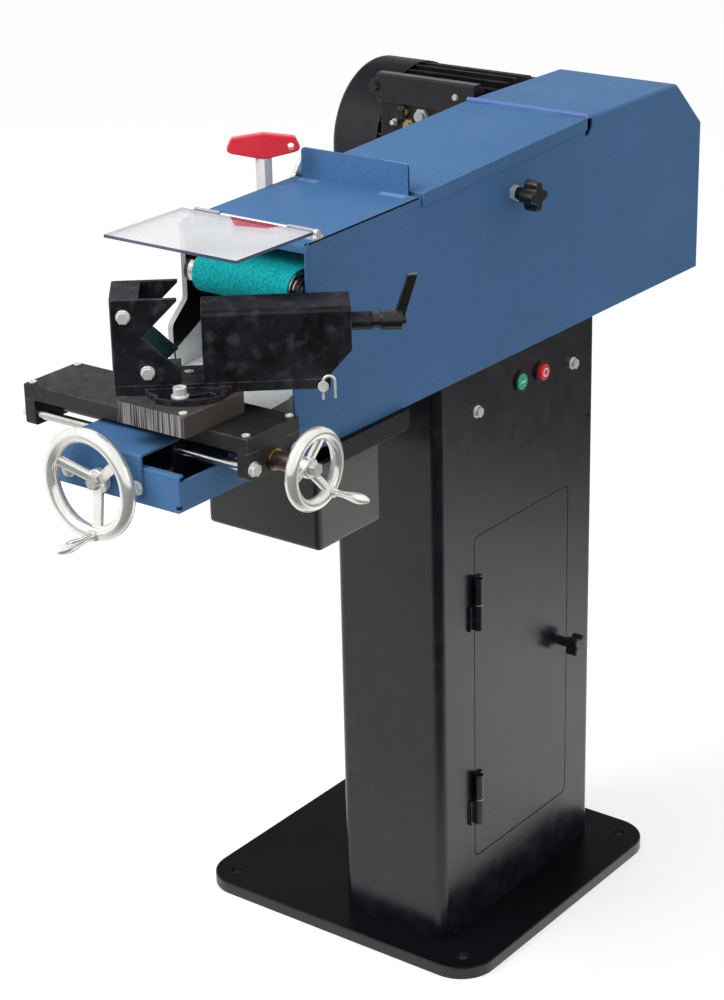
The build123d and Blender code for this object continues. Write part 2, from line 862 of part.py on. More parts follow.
def lid_knuckles(share):
    """Hinge barrel on the rear lid's joint over a share of the head's width, with a tongue behind it."""
    span = (head_left_x + share[0] * head_width, head_left_x + share[1] * head_width)
    barrel = rod("x", span, (lid_joint_y, joint_axis_z), lid_knuckle_radius)
    return barrel + block(span, (lid_joint_y, lid_joint_y + 2 * lid_knuckle_radius),
                          (head_top_z - cover_sheet, head_top_z))


def make_lid_hinge_pin():
    return rod("x", (head_left_x, head_right_x), (lid_joint_y, joint_axis_z), lid_pin_radius)


def make_rear_lid():
    front = stop_y + lid_gap
    rear = lid_joint_y - lid_knuckle_radius + moving_gap
    xs = (head_left_x, head_right_x + moving_gap + lid_sheet)
    strip = [
        (front, skin_z(front)),
        (rear, skin_z(rear)),
        (rear, skin_z(rear) - lid_sheet),
        (front + lid_sheet, skin_z(front) - lid_sheet),
        (front + lid_sheet, skin_z(front) - rear_lid_lip),
        (front, skin_z(front) - rear_lid_lip),
    ]
    lid = prism_x(strip, (plate_inner_x + moving_gap, panel_inner_x - moving_gap), ((0, lid_sheet),))
    sheet = [(front, skin_z(front)), (rear, skin_z(rear)), (rear, skin_z(rear) - lid_sheet),
             (front, skin_z(front) - lid_sheet)]
    lid += prism_x(sheet, xs)
    flange = [(front, skin_z(front)), (rear, skin_z(rear)), (rear, skin_z(rear) - rear_lid_flange),
              (front, skin_z(front) - rear_lid_flange)]
    lid += prism_x(flange, (xs[1] - lid_sheet, xs[1]))
    share = ((1 - lid_knuckle_share) / 2, (1 + lid_knuckle_share) / 2)
    span = (head_left_x + share[0] * head_width + moving_gap,
            head_left_x + share[1] * head_width - moving_gap)
    lid += rod("x", span, (lid_joint_y, joint_axis_z), lid_knuckle_radius)
    lid += block(span, (rear - lid_knuckle_radius, lid_joint_y), (head_top_z - lid_sheet, head_top_z))
    lid -= rod("x", (head_left_x - head_width, head_right_x + head_width), (lid_joint_y, joint_axis_z),
               lid_pin_radius + running_clearance)
    return lid


def make_front_lid():
    front = head_recess_y
    rear = stop_y - lid_gap
    z_front = skin_z(front)
    z_rear = skin_z(rear)
    strip = [
        (front, z_front),
        (rear, z_rear),
        (rear, z_rear - lid_sheet),
        (front + lid_sheet, z_front - lid_sheet),
        (front + lid_sheet, z_front - lid_lip),
        (front, z_front - lid_lip),
    ]
    lid = prism_x(strip, (plate_inner_x + moving_gap, panel_inner_x - moving_gap), ((0, lid_lip_radius),))
    start = front + lid_lip_radius
    top = [(start, skin_z(start)), (rear, z_rear), (rear, z_rear - lid_sheet - moving_gap),
           (start, skin_z(start) - lid_sheet - moving_gap)]
    lid += prism_x(top, (head_left_x, plate_inner_x + 2 * moving_gap))
    lid += prism_x(top, (panel_inner_x - 2 * moving_gap, head_right_x))
    stop = [(rear - lid_sheet, z_rear - lid_sheet), (rear, z_rear - lid_sheet), (rear, z_rear + stop_height),
            (rear - lid_sheet, z_rear + stop_height)]
    flange = prism_x(stop, (head_left_x + stop_inset_left, head_right_x - stop_inset_right))
    corners = flange.edges().filter_by(Axis.Y).group_by(Axis.Z)[-1]
    lid += fillet(corners, lid_lip_radius)
    return lid


def shield_axis_z():
    """Height of the shield's hinge rod above the front lid."""
    return skin_z(shield_axis_y) + shield_strip_thickness + shield_knuckle_radius + moving_gap


def knuckle_spans():
    """X spans of the shield's two hinge knuckles."""
    inner = shield_post_thickness + moving_gap
    left = head_left_x + inner
    right = head_right_x - inner
    return ((left, left + shield_knuckle_length), (right - shield_knuckle_length, right))


def make_shield_strip():
    z_axis = shield_axis_z()
    ys = (shield_axis_y - shield_strip_width / 2, shield_axis_y + shield_strip_width / 2)
    z_low = min(skin_z(ys[0]), skin_z(ys[1]))
    foot = [(ys[0], skin_z(ys[0])), (ys[1], skin_z(ys[1])), (ys[1], skin_z(ys[1]) + shield_strip_thickness),
            (ys[0], skin_z(ys[0]) + shield_strip_thickness)]
    strip = prism_x(foot, (head_left_x, head_right_x))
    post_ys = (shield_axis_y - shield_knuckle_radius, shield_axis_y + shield_knuckle_radius)
    for x in (head_left_x, head_right_x - shield_post_thickness):
        post = block((x, x + shield_post_thickness), post_ys, (z_low + shield_strip_thickness / 2, z_axis))
        eye = rod("x", (x, x + shield_post_thickness), (shield_axis_y, z_axis), shield_knuckle_radius)
        strip += post + eye
    return strip + rod("x", (head_left_x, head_right_x), (shield_axis_y, z_axis), shield_rod_radius)


def make_shield():
    z_axis = shield_axis_z()
    left = head_left_x - shield_left_overhang
    plate_zs = (z_axis - shield_thickness / 2, z_axis + shield_thickness / 2)
    near = shield_axis_y - shield_knuckle_radius - moving_gap
    plate = block((left, left + shield_width), (shield_axis_y - shield_reach, near), plate_zs)
    bore = shield_rod_radius + running_clearance
    for span in knuckle_spans():
        plate += rod("x", span, (shield_axis_y, z_axis), shield_knuckle_radius)
        plate += block(span, (near - seat_gap, shield_axis_y), plate_zs)
    return plate - rod("x", (left - shield_width, left + 2 * shield_width), (shield_axis_y, z_axis), bore)


def belt_face(extra):
    """YZ face of the loop round the drive wheel and the roller, grown by a thickness."""
    drive = Pos(drive_y, drive_z) * Circle(drive_radius + extra)
    nose = Pos(roller_y, roller_z) * Circle(roller_radius + extra)
    return make_hull(drive.edges() + nose.edges())


def make_abrasive_belt():
    face = belt_face(belt_inner_gap + belt_thickness) - belt_face(belt_inner_gap)
    return extrude(Plane.YZ.offset(belt_x - belt_width / 2) * face, belt_width)


def make_contact_roller():
    half = belt_width / 2 + roller_face_margin
    body = rod("x", (belt_x - half, belt_x + half), (roller_y, roller_z), roller_radius)
    hub = (belt_x - half - roller_hub_left, belt_x + half + roller_hub_right)
    body += rod("x", hub, (roller_y, roller_z), roller_hub_radius)
    body -= rod("x", (belt_x - belt_width, belt_x + belt_width), (roller_y, roller_z),
                roller_axle_radius + roller_bore_gap)
    for span in roller_bearing_spans():
        body -= rod("x", span, (roller_y, roller_z), bearing_bore_radius())
    return body


def bearing_bore_radius():
    """Bore of the roller's hub on its bearings."""
    return roller_hub_radius - (roller_hub_radius - roller_axle_radius) / 3


def roller_bearing_spans():
    """X span of each roller bearing."""
    half = belt_width / 2 + roller_face_margin
    left = belt_x - half - roller_hub_left
    right = belt_x + half + roller_hub_right
    return ((left, left + bearing_width), (right - bearing_width, right))


def make_roller_bearings():
    rings = []
    for span in roller_bearing_spans():
        rings.append(tube("x", span, (roller_y, roller_z), bearing_bore_radius() - running_clearance,
                          roller_axle_radius))
    return rings


def fork_arm_spans():
    """X spans of the fork's left and right arm."""
    spans = roller_bearing_spans()
    left = spans[0][0] - fork_arm_gap
    right = spans[1][1] + fork_arm_gap
    return ((left - fork_arm_thickness, left), (right, right + fork_arm_thickness))


def make_roller_axle():
    left, right = fork_arm_spans()
    return rod("x", (left[0], right[1]), (roller_y, roller_z), roller_axle_radius)


def make_roller_fork():
    left, right = fork_arm_spans()
    half = fork_arm_height / 2
    bar_ys = (fork_bar_y - fork_bar_depth / 2, fork_bar_y + fork_bar_depth / 2)
    bar_zs = (fork_bar_z - fork_bar_height / 2, fork_bar_z + fork_bar_height / 2)
    fork = block((left[0], right[1]), bar_ys, bar_zs)
    for span in (left, right):
        fork += block(span, (roller_y, bar_ys[1]), (roller_z - half, roller_z + half))
        fork += rod("x", span, (roller_y, roller_z), half)
    fork += block(left, (bar_ys[0], fork_tail_y), (roller_z - half, roller_z + half))
    fork -= rod("x", (left[0] - head_width, right[1] + head_width), (roller_y, roller_z), roller_axle_radius)
    # Upright slot for the lever's dog
    dog_z = lever_pivot_z - lever_dog_drop
    half_slot = lever_dog_radius + moving_gap
    fork -= block(left, (lever_pivot_y - half_slot, lever_pivot_y + half_slot),
                  (dog_z - half_slot - lever_slot_margin, dog_z + half_slot + lever_slot_margin))
    fork += rod("y", (fork_bar_y, fork_shank_end_y), (belt_x, fork_bar_z), fork_shank_radius)
    return fork


def make_tension_lever():
    outer = head_left_x - moving_gap
    xs = (outer - lever_thickness, outer)
    dog_z = lever_pivot_z - lever_dog_drop
    half = lever_width / 2
    rise = (lever_top_y - lever_pivot_y, lever_top_z - half - lever_pivot_z)
    length = sqrt(rise[0] ** 2 + rise[1] ** 2)
    tilt = degrees(atan2(rise[0], rise[1]))
    arm = Pos(0, 0, length / 2) * Box(lever_thickness, lever_width, length)
    arm += Pos(0, 0, length) * Rot(0, 90, 0) * Cylinder(half, lever_thickness)
    arm += Rot(0, 90, 0) * Cylinder(half, lever_thickness)
    lever = Pos((xs[0] + xs[1]) / 2, lever_pivot_y, lever_pivot_z) * Rot(-tilt, 0, 0) * arm
    lever += block(xs, (lever_pivot_y - half, lever_pivot_y + half), (dog_z, lever_pivot_z))
    lever += rod("x", xs, (lever_pivot_y, dog_z), half)
    lever += rod("x", (outer - lever_thickness / 2, plate_inner_x), (lever_pivot_y, lever_pivot_z),
                 lever_pivot_radius)
    dog_end = fork_arm_spans()[0][1] - moving_gap
    lever += rod("x", (outer - lever_thickness / 2, dog_end), (lever_pivot_y, dog_z), lever_dog_radius)
    return lever


def make_platen():
    run = sqrt((drive_y - roller_y) ** 2 + (drive_z - roller_z) ** 2)
    tangent = atan2(drive_z - roller_z, drive_y - roller_y) + asin((drive_radius - roller_radius) / run)
    at_roller_y = roller_y - roller_radius * sin(tangent)
    at_roller_z = roller_z + roller_radius * cos(tangent)
    run_z = at_roller_z + (platen_y - at_roller_y) * sin(tangent) / cos(tangent)
    right = belt_x + belt_width / 2 + roller_face_margin
    length_x = right - plate_inner_x
    plate = Pos(0, 0, -platen_thickness / 2) * Box(length_x, platen_length, platen_thickness)
    for end in (-1, 1):
        rib_y = end * (platen_length / 2 - platen_rib_thickness)
        plate += Pos(0, rib_y, -platen_rib_depth / 2) * Box(length_x, platen_rib_thickness, platen_rib_depth)
    place = Pos((plate_inner_x + right) / 2, platen_y, run_z - seat_gap)
    return place * Rot(degrees(tangent), 0, 0) * plate


def make_drive_wheel():
    rim_radius = drive_radius - tyre_thickness
    half = belt_width / 2 + roller_face_margin
    span = (belt_x - half, belt_x + half)
    wheel = tube("x", span, (drive_y, drive_z), rim_radius, rim_radius - drive_rim_thickness)
    web = (belt_x - drive_web_thickness / 2, belt_x + drive_web_thickness / 2)
    wheel += rod("x", web, (drive_y, drive_z), rim_radius - drive_rim_thickness / 2)
    hub = (belt_x - drive_hub_length / 2, belt_x + drive_hub_length / 2)
    wheel += rod("x", hub, (drive_y, drive_z), drive_hub_radius)
    return wheel - rod("x", span, (drive_y, drive_z), shaft_radius)


def make_drive_tyre():
    half = belt_width / 2 + roller_face_margin
    return tube("x", (belt_x - half, belt_x + half), (drive_y, drive_z), drive_radius,
                drive_radius - tyre_thickness)


def stator_span():
    """X span of the stator and rotor stacks."""
    middle = head_left_x - shield_plate - motor_length / 2
    return (middle - stator_length / 2, middle + stator_length / 2)


def make_motor_shaft():
    fan_end = motor_back_x - shield_plate - cowl_length + cowl_overlap + fan_inset
    shaft = rod("x", (fan_end, belt_x + drive_hub_length / 2), (drive_y, drive_z), shaft_radius)
    return shaft + rod("x", stator_span(), (drive_y, drive_z), rotor_radius)


def make_motor_housing():
    span = (motor_back_x, head_left_x - shield_plate)
    length = span[1] - span[0]
    outer = motor_bore_radius + motor_wall
    body = Cylinder(outer, length)
    fin_height = motor_fin_radius - motor_bore_radius
    for number in range(motor_fin_count):
        fin = Pos(motor_bore_radius + fin_height / 2, 0, 0) * Box(fin_height, motor_fin_thickness, length)
        body += Rot(0, 0, (number + 0.5) * 360 / motor_fin_count) * fin
    body -= Cylinder(motor_bore_radius, length)
    return along("x", span, (drive_y, drive_z), body)


def end_shield_spans():
    """X spans of the rear and the front end shield."""
    return ((motor_back_x - shield_plate, motor_back_x), (head_left_x - shield_plate, head_left_x))


def make_motor_end_shields():
    shields = []
    for span in end_shield_spans():
        disc = rod("x", span, (drive_y, drive_z), motor_bore_radius + motor_wall)
        shields.append(disc - rod("x", span, (drive_y, drive_z), motor_bearing_radius))
    return shields


def make_motor_bearings():
    inner = shaft_radius + running_clearance
    return [tube("x", span, (drive_y, drive_z), motor_bearing_radius, inner) for span in end_shield_spans()]


def make_motor_stator():
    return tube("x", stator_span(), (drive_y, drive_z), motor_bore_radius, stator_bore_radius)


def make_fan_cowl():
    front = motor_back_x + cowl_overlap
    back = front - cowl_length - shield_plate
    inner = motor_fin_radius + fixed_gap
    cowl = rod("x", (back, front), (drive_y, drive_z), inner + cowl_wall)
    cowl = fillet(cowl.edges().group_by(Axis.X)[0], cowl_bend_radius + cowl_wall)
    hollow = rod("x", (back + cowl_wall, front), (drive_y, drive_z), inner)
    cowl -= fillet(hollow.edges().group_by(Axis.X)[0], cowl_bend_radius)
    slot_length = cowl_slot_outer - cowl_slot_inner
    slot_middle = (cowl_slot_inner + cowl_slot_outer) / 2
    slot = Pos(slot_middle, 0, 0) * Box(slot_length, cowl_slot_width, 4 * cowl_wall)
    for number in range(cowl_slot_count):
        turned = Rot(0, 0, number * 360 / cowl_slot_count) * slot
        cowl -= along("x", (back - cowl_wall, back + 2 * cowl_wall), (drive_y, drive_z), turned)
    return cowl


def make_motor_fan():
    end = motor_back_x + cowl_overlap - cowl_length - shield_plate + fan_inset
    span = (end, end + fan_width)
    fan = Cylinder(2 * shaft_radius, fan_width)
    fan += Pos(0, 0, fan_width / 2 - fan_disc / 2) * Cylinder(fan_radius, fan_disc)
    blade_length = fan_radius - shaft_radius
    for number in range(fan_blades):
        blade = Pos(shaft_radius + blade_length / 2, 0, 0) * Box(blade_length, fan_disc, fan_width)
        fan += Rot(0, 0, number * 360 / fan_blades) * blade
    fan -= Cylinder(shaft_radius, fan_width)
    return along("x", span, (drive_y, drive_z), fan)


def terminal_span():
    """X span of the terminal box on the motor's front."""
    right = head_left_x - terminal_right_inset
    return (right - terminal_width, right)


def make_terminal_box():
    xs = terminal_span()
    ys = (terminal_front_y, terminal_front_y + terminal_depth)
    top = terminal_top_z - terminal_lid_thickness
    inner_xs = (xs[0] + terminal_wall, xs[1] - terminal_wall)
    window = (terminal_top_z - terminal_lid_height + terminal_wall, top - terminal_wall)
    # Short flat top, then a slope down to the motor, with the hollow one wall inside them
    flat = ys[0] + terminal_top_depth
    fall = ys[1] - flat
    slant_wall = terminal_wall * sqrt(2)
    outer = [(ys[0], terminal_bottom_z), (ys[0], top), (flat, top), (ys[1], top - fall),
             (ys[1], terminal_bottom_z)]
    inner = [(ys[0] + terminal_wall, terminal_bottom_z + terminal_wall),
             (ys[0] + terminal_wall, top - terminal_wall),
             (flat + terminal_wall - slant_wall, top - terminal_wall), (ys[1], top - fall - slant_wall),
             (ys[1], terminal_bottom_z + terminal_wall)]
    body = prism_x(outer, xs) - prism_x(inner, inner_xs)
    body -= block(inner_xs, ys, window)
    body -= rod("x", (xs[0] - terminal_wall, xs[1] + terminal_wall), (drive_y, drive_z),
                motor_fin_radius + fixed_gap)
    return body


def make_terminal_lid():
    xs = terminal_span()
    wide = (xs[0] - terminal_lid_margin, xs[1] + terminal_lid_margin)
    ys = (terminal_front_y - terminal_lid_thickness, terminal_front_y)
    lid = block(wide, ys, (terminal_top_z - terminal_lid_height, terminal_top_z))
    lid += block(wide, (ys[0], ys[1] + terminal_lid_lip),
                 (terminal_top_z - terminal_lid_thickness, terminal_top_z))
    edge = lid.edges().filter_by(Axis.X).group_by(Axis.Z)[-1].sort_by(Axis.Y)[0]
    lid = fillet(edge, terminal_lid_round)
    # Rounded lug at the left, with its bolt, and a screw at the right
    lug_z = terminal_top_z - terminal_lug_drop
    lid += rod("y", ys, (wide[0], lug_z), terminal_lug_radius)
    bolt_at = (wide[0] - terminal_bolt_offset, lug_z)
    lid += hex_bar("y", (ys[0] - rod_bolt_head, ys[0]), bolt_at, rod_bolt_flats)
    screw_at = (wide[1] - terminal_screw_inset, lug_z)
    lid += rod("y", (ys[0] - rod_bolt_head / 2, ys[0]), screw_at, rod_bolt_radius)
    return lid


def make_terminal_glands():
    glands = []
    ys = (terminal_front_y - gland_length, terminal_front_y)
    for inset, drop, radius in zip(gland_insets, gland_drops, gland_radii):
        x = terminal_span()[0] + inset
        z = terminal_top_z - terminal_lid_height - drop
        body = rod("y", (ys[0], ys[1] - gland_length / 2), (x, z), radius * gland_neck_share)
        glands.append(body + hex_bar("y", (ys[1] - gland_length / 2, ys[1]), (x, z), 2 * radius))
    return glands


def hex_bolt(axis, face, direction, at, flats, head, radius, length):
    """A hexagon bolt: its head stands on a face, its shank runs the other way."""
    top = (min(face, face + direction * head), max(face, face + direction * head))
    shank = (min(face, face - direction * length), max(face, face - direction * length))
    return hex_bar(axis, top, at, flats) + rod(axis, shank, at, radius)


def washered_bolt(axis, face, direction, at, length):
    """A hexagon bolt with a washer under its head."""
    seat = face + direction * rod_washer_thickness
    span = (min(face, seat), max(face, seat))
    bolt = hex_bolt(axis, seat, direction, at, rod_bolt_flats, rod_bolt_head, rod_bolt_radius, length)
    return bolt + rod(axis, span, at, rod_washer_radius)


def make_frame_bolts():
    bolts = []
    for y in mount_bolt_places():
        at = (y, head_bottom_z - mount_bolt_drop)
        length = column_wall + 2 * tongue_thickness
        bolts.append(washered_bolt("x", column_right_x, 1, at, length))
        bolts.append(washered_bolt("x", column_left_x, -1, at, length))
    for x in feed_rod_places():
        bolts.append(washered_bolt("y", tray_front_y - tray_sheet, -1, (x, feed_axis_z),
                                   2 * tray_sheet + rod_washer_thickness))
    nut_at = (tracking_y, head_bottom_z + tracking_height)
    nut = hex_bar("x", (head_right_x, head_right_x + tracking_nut_height), nut_at, tracking_nut_flats)
    bolts.append(nut - rod("x", (head_right_x, head_right_x + tracking_nut_height), nut_at,
                           tracking_screw_radius + running_clearance))
    return bolts


def make_tracking_knob():
    at = (tracking_y, head_bottom_z + tracking_height)
    base = head_right_x + tracking_knob_standoff
    knob = Pos(base, *at) * Rot(0, 90, 0) * star_knob(tracking_knob_radius, tracking_knob_length)
    knob += rod("x", (panel_inner_x - tracking_screw_inside, base + seat_gap), at, tracking_screw_radius)
    knob += rod("x", (head_right_x + tracking_nut_height + moving_gap, base), at, tracking_collar_radius)
    return knob


def key_tube_x():
    """X of the key holder's axis."""
    return head_left_x - key_tube / 2


def make_key_holder():
    x = key_tube_x()
    zs = (key_tube_top_z - key_tube_length, key_tube_top_z)
    middle = Pos(x, key_y, (zs[0] + zs[1]) / 2)
    bore = key_tube - 2 * key_tube_wall
    return middle * (Box(key_tube, key_tube, key_tube_length) - Box(bore, bore, key_tube_length))


def make_hex_key_grip():
    low = -key_grip_height / 2
    half = key_grip_length / 2
    taper = key_grip_end_taper
    shoulder = low + key_grip_shoulder_height
    end = low + key_grip_end_height / 2
    outline = [
        (-key_tube / 2, low),
        (key_tube / 2, low),
        (half - taper, low + taper),
        (half, end),
        (half - taper, shoulder),
        (0, -low),
        (-half + taper, shoulder),
        (-half, end),
        (-half + taper, low + taper),
    ]
    face = make_face(Polyline(*outline, close=True))
    face = fillet(face.vertices(), key_grip_round)
    grip = extrude(Plane.XZ * face, key_grip_thickness / 2, both=True)
    hole_x = half - key_grip_hole_inset
    hole = Cylinder(key_grip_hole, 2 * key_grip_thickness)
    grip -= Pos(hole_x, 0, low + key_grip_hole_height) * Rot(90, 0, 0) * hole
    grip = fillet(grip.edges().filter_by(GeomType.LINE), key_grip_edge_round)
    place = Pos(key_tube_x(), key_y, key_tube_top_z + moving_gap - low)
    return place * Rot(0, 0, key_grip_turn) * grip


def make_hex_key_shaft():
    top = key_tube_top_z + moving_gap
    return hex_bar("z", (top - key_shaft_length, top), (key_tube_x(), key_y), key_shaft_flats)


def chute_z(y):
    """Height of the chute floor's upper face at a place along Y."""
    front_top = head_bottom_z + front_plate_height + chute_sheet
    slope = chute_rise / (chute_back_y - chute_lip_y)
    return front_top + (y - head_front_y) * slope


def make_spark_chute():
    inside = head_front_y + chute_side_margin
    back = chute_back_y

    def floor(front, xs):
        under = [(back, chute_z(back) - chute_sheet), (front, chute_z(front) - chute_sheet)]
        return prism_x([(front, chute_z(front)), (back, chute_z(back))] + under, xs)

    left = plate_inner_x
    right = panel_inner_x
    chute = floor(chute_lip_y, (left + chute_side_margin, right - chute_side_margin))
    chute += floor(inside, (left, right))
    wall = [(inside, chute_z(inside) - chute_sheet), (back, chute_z(back) - chute_sheet),
            (back, chute_z(back) + chute_wall_height), (inside, chute_z(inside) + chute_wall_height / 2)]
    for low in (left, right - chute_sheet):
        chute += prism_x(wall, (low, low + chute_sheet))
    return chute


def feed_rod_places():
    """X of the two feed guide rods."""
    return (feed_x - feed_rod_spacing / 2, feed_x + feed_rod_spacing / 2)


def make_feed_tray():
    xs = (tray_left_x, tray_right_x)
    ys = (tray_front_y, head_front_y)
    low = tray_bottom_z
    tray = block(xs, ys, (low, low + tray_sheet))
    tray += block(xs, (ys[0], ys[0] + tray_sheet), (low, low + tray_front_height))
    for x in (xs[0], xs[1] - tray_sheet):
        tray += block((x, x + tray_sheet), ys, (low, low + tray_side_height))
    bends = tray.edges().filter_by(Axis.Y).group_by(Axis.Z)[0]
    tray = fillet(bends, tray_edge_radius)
    # Lip turned in along the front wall, and the corner reliefs over the floor
    top = low + tray_front_height
    tray += block(xs, (ys[0], ys[0] + tray_lip), (top - tray_sheet, top))
    lip_edge = tray.edges().filter_by(Axis.X).group_by(Axis.Z)[-1].sort_by(Axis.Y)[0]
    tray = fillet(lip_edge, tray_edge_radius)
    for x in xs:
        tray -= block((x - tray_notch, x + tray_notch), (ys[0] - tray_sheet, ys[0] + tray_notch),
                      (low + tray_sheet, low + tray_sheet + tray_notch))
    tray -= rod("y", (ys[0] - tray_sheet, ys[0] + 2 * tray_sheet), (feed_x, feed_axis_z),
                feed_screw_radius + running_clearance)
    for x in feed_rod_places():
        tray -= rod("y", (ys[0] - tray_sheet, ys[0] + 2 * tray_sheet), (x, feed_axis_z), rod_bolt_radius)
    return tray


def make_feed_saddle():
    xs = (feed_x - saddle_width / 2, feed_x + saddle_width / 2)
    front = tray_front_y - tray_sheet
    outline = [(front, feed_axis_z - saddle_tab), (front, saddle_top_z), (front + saddle_depth, saddle_top_z),
               (front + saddle_depth, saddle_top_z - tray_sheet), (tray_front_y, saddle_top_z - tray_sheet),
               (tray_front_y, feed_axis_z - saddle_tab)]
    saddle = prism_x(outline, xs, ((1, tray_bend_radius),))
    saddle = fillet(saddle.edges().filter_by(Axis.Y).group_by(Axis.Z)[0], saddle_corner_radius)
    saddle -= rod("y", (front - tray_sheet, front + 2 * tray_sheet), (feed_x, feed_axis_z),
                  feed_screw_radius + running_clearance)
    for x in feed_rod_places():
        saddle -= rod("y", (front - tray_sheet, front + 2 * tray_sheet), (x, feed_axis_z), rod_bolt_radius)
    return saddle


def make_feed_rods():
    return [rod("y", (tray_front_y + tray_sheet, head_front_y), (x, feed_axis_z), feed_rod_radius)
            for x in feed_rod_places()]


def make_feed_screw():
    front = front_wheel_plane_y + front_wheel_setback
    screw = rod("y", (front, feed_screw_end_y), (feed_x, feed_axis_z), feed_screw_radius)
    screw += hex_bar("y", (front - wheel_nut_height, front), (feed_x, feed_axis_z), wheel_nut_flats)
    return screw


def cross_rod_places():
    """Y of the two cross rods."""
    return (table_y - cross_rod_spacing / 2, table_y + cross_rod_spacing / 2)


def carriage_spans():
    """X, Y and Z spans of the carriage block."""
    return ((feed_x - carriage_width / 2, feed_x + carriage_width / 2),
            (table_y - carriage_depth / 2, table_y + carriage_depth / 2),
            (tray_bottom_z + tray_sheet + carriage_floor_gap, saddle_top_z - tray_sheet - carriage_top_gap))


def make_feed_carriage():
    xs, ys, zs = carriage_spans()
    body = block(xs, ys, zs)
    body = chamfer(body.edges().filter_by(Axis.Z), carriage_edge_break)
    for x in feed_rod_places():
        body -= rod("y", ys, (x, feed_axis_z), feed_rod_radius + running_clearance)
    for y in cross_rod_places():
        body -= rod("x", xs, (y, cross_axis_z), cross_rod_radius + running_clearance)
    body -= rod("y", ys, (feed_x, feed_axis_z), feed_screw_radius + seat_gap)
    body -= rod("x", xs, (table_y, cross_axis_z), cross_screw_radius + seat_gap)
    body -= rod("y", (ys[0], ys[0] + screw_nut_length), (feed_x, feed_axis_z), screw_nut_radius)
    body -= rod("x", (xs[0], xs[0] + screw_nut_length), (table_y, cross_axis_z), screw_nut_radius)
    return body


def make_feed_nuts():
    xs, ys, _ = carriage_spans()
    feed = tube("y", (ys[0], ys[0] + screw_nut_length), (feed_x, feed_axis_z), screw_nut_radius,
                feed_screw_radius + running_clearance)
    cross = tube("x", (xs[0], xs[0] + screw_nut_length), (table_y, cross_axis_z), screw_nut_radius,
                 cross_screw_radius + running_clearance)
    return [feed, cross]


def table_spans():
    """X and Y spans of the cross table."""
    return ((feed_x - table_length / 2, feed_x + table_length / 2),
            (table_y - table_depth / 2, table_y + table_depth / 2))


def make_cross_table():
    xs, ys = table_spans()
    plate = block(xs, ys, (table_bottom_z, table_top_z))
    return chamfer(plate.edges().group_by(Axis.Z)[-1], table_edge_break)


def make_table_end_blocks():
    xs, ys = table_spans()
    blocks = []
    for low in (xs[0], xs[1] - end_block_thickness):
        span = (low, low + end_block_thickness)
        body = block(span, ys, (table_bottom_z - end_block_height, table_bottom_z))
        body = fillet(body.edges().filter_by(Axis.X).group_by(Axis.Z)[0], end_block_corner_radius)
        for y in cross_rod_places():
            body -= rod("x", span, (y, cross_axis_z), cross_rod_radius)
        bore = bush_radius if low > xs[0] else cross_screw_radius + running_clearance
        blocks.append(body - rod("x", span, (table_y, cross_axis_z), bore))
    return blocks


def make_cross_rods():
    xs, _ = table_spans()
    return [rod("x", (xs[0] + cross_rod_inset, xs[1] - cross_rod_inset), (y, cross_axis_z), cross_rod_radius)
            for y in cross_rod_places()]


def make_cross_bush():
    xs, _ = table_spans()
    bush = rod("x", (xs[1] - end_block_thickness, xs[1]), (table_y, cross_axis_z), bush_radius)
    bush += rod("x", (xs[1], xs[1] + bush_flange), (table_y, cross_axis_z), bush_flange_radius)
    return bush - rod("x", (xs[1] - end_block_thickness, xs[1] + bush_flange), (table_y, cross_axis_z),
                      cross_screw_radius + running_clearance)


def make_cross_screw():
    xs, _ = table_spans()
    at = (table_y, cross_axis_z)
    end = right_wheel_plane_x - right_wheel_setback
    hub_back = right_wheel_plane_x - wheel_hub_length
    screw = rod("x", (xs[0], end), at, cross_screw_radius)
    screw += rod("x", (xs[1] + bush_flange + moving_gap, hub_back), at, sleeve_radius)
    return screw + hex_bar("x", (end, end + wheel_nut_height), at, wheel_nut_flats)


def make_table_fasteners():
    xs, ys = table_spans()
    pieces = []
    for y in cross_rod_places():
        at = (y, cross_axis_z)
        length = cross_rod_inset + rod_washer_thickness
        pieces.append(washered_bolt("x", xs[1], 1, at, length))
        pieces.append(washered_bolt("x", xs[0], -1, at, length))
    for x in (xs[0] + corner_screw_inset, xs[1] - corner_screw_inset):
        for y in (ys[0] + corner_screw_inset, ys[1] - corner_screw_inset):
            top = table_top_z + corner_screw_height
            head = rod("z", (table_top_z, top), (x, y), corner_screw_radius)
            socket = hex_bar("z", (top - corner_screw_height / 2, top), (x, y), corner_screw_radius)
            pieces.append(head - socket)
    block_xs, block_ys = block_spans()
    corner = (block_xs[1] - block_screw_inset, block_ys[0] + block_screw_inset)
    pieces.append(rod("z", (block_top_z, block_top_z + corner_screw_height), corner, corner_screw_radius))
    pieces.append(make_slot_screw())
    return pieces


def make_slot_screw():
    """Socket head screw that stands in the swivel plate's arc slot."""
    turn = radians(slot_screw_angle + vise_turn)
    at = (pivot_x + slot_radius * cos(turn), pivot_y + slot_radius * sin(turn))
    seat = swivel_top_z + moving_gap
    screw = rod("z", (block_top_z, seat), at, slot_screw_radius)
    screw += rod("z", (seat, seat + slot_washer_thickness), at, slot_washer_radius)
    head = (seat + slot_washer_thickness, seat + slot_washer_thickness + slot_screw_head)
    screw += rod("z", head, at, slot_screw_head_radius)
    return screw - hex_bar("z", (head[0] + slot_screw_head / 2, head[1]), at, slot_screw_head_radius)


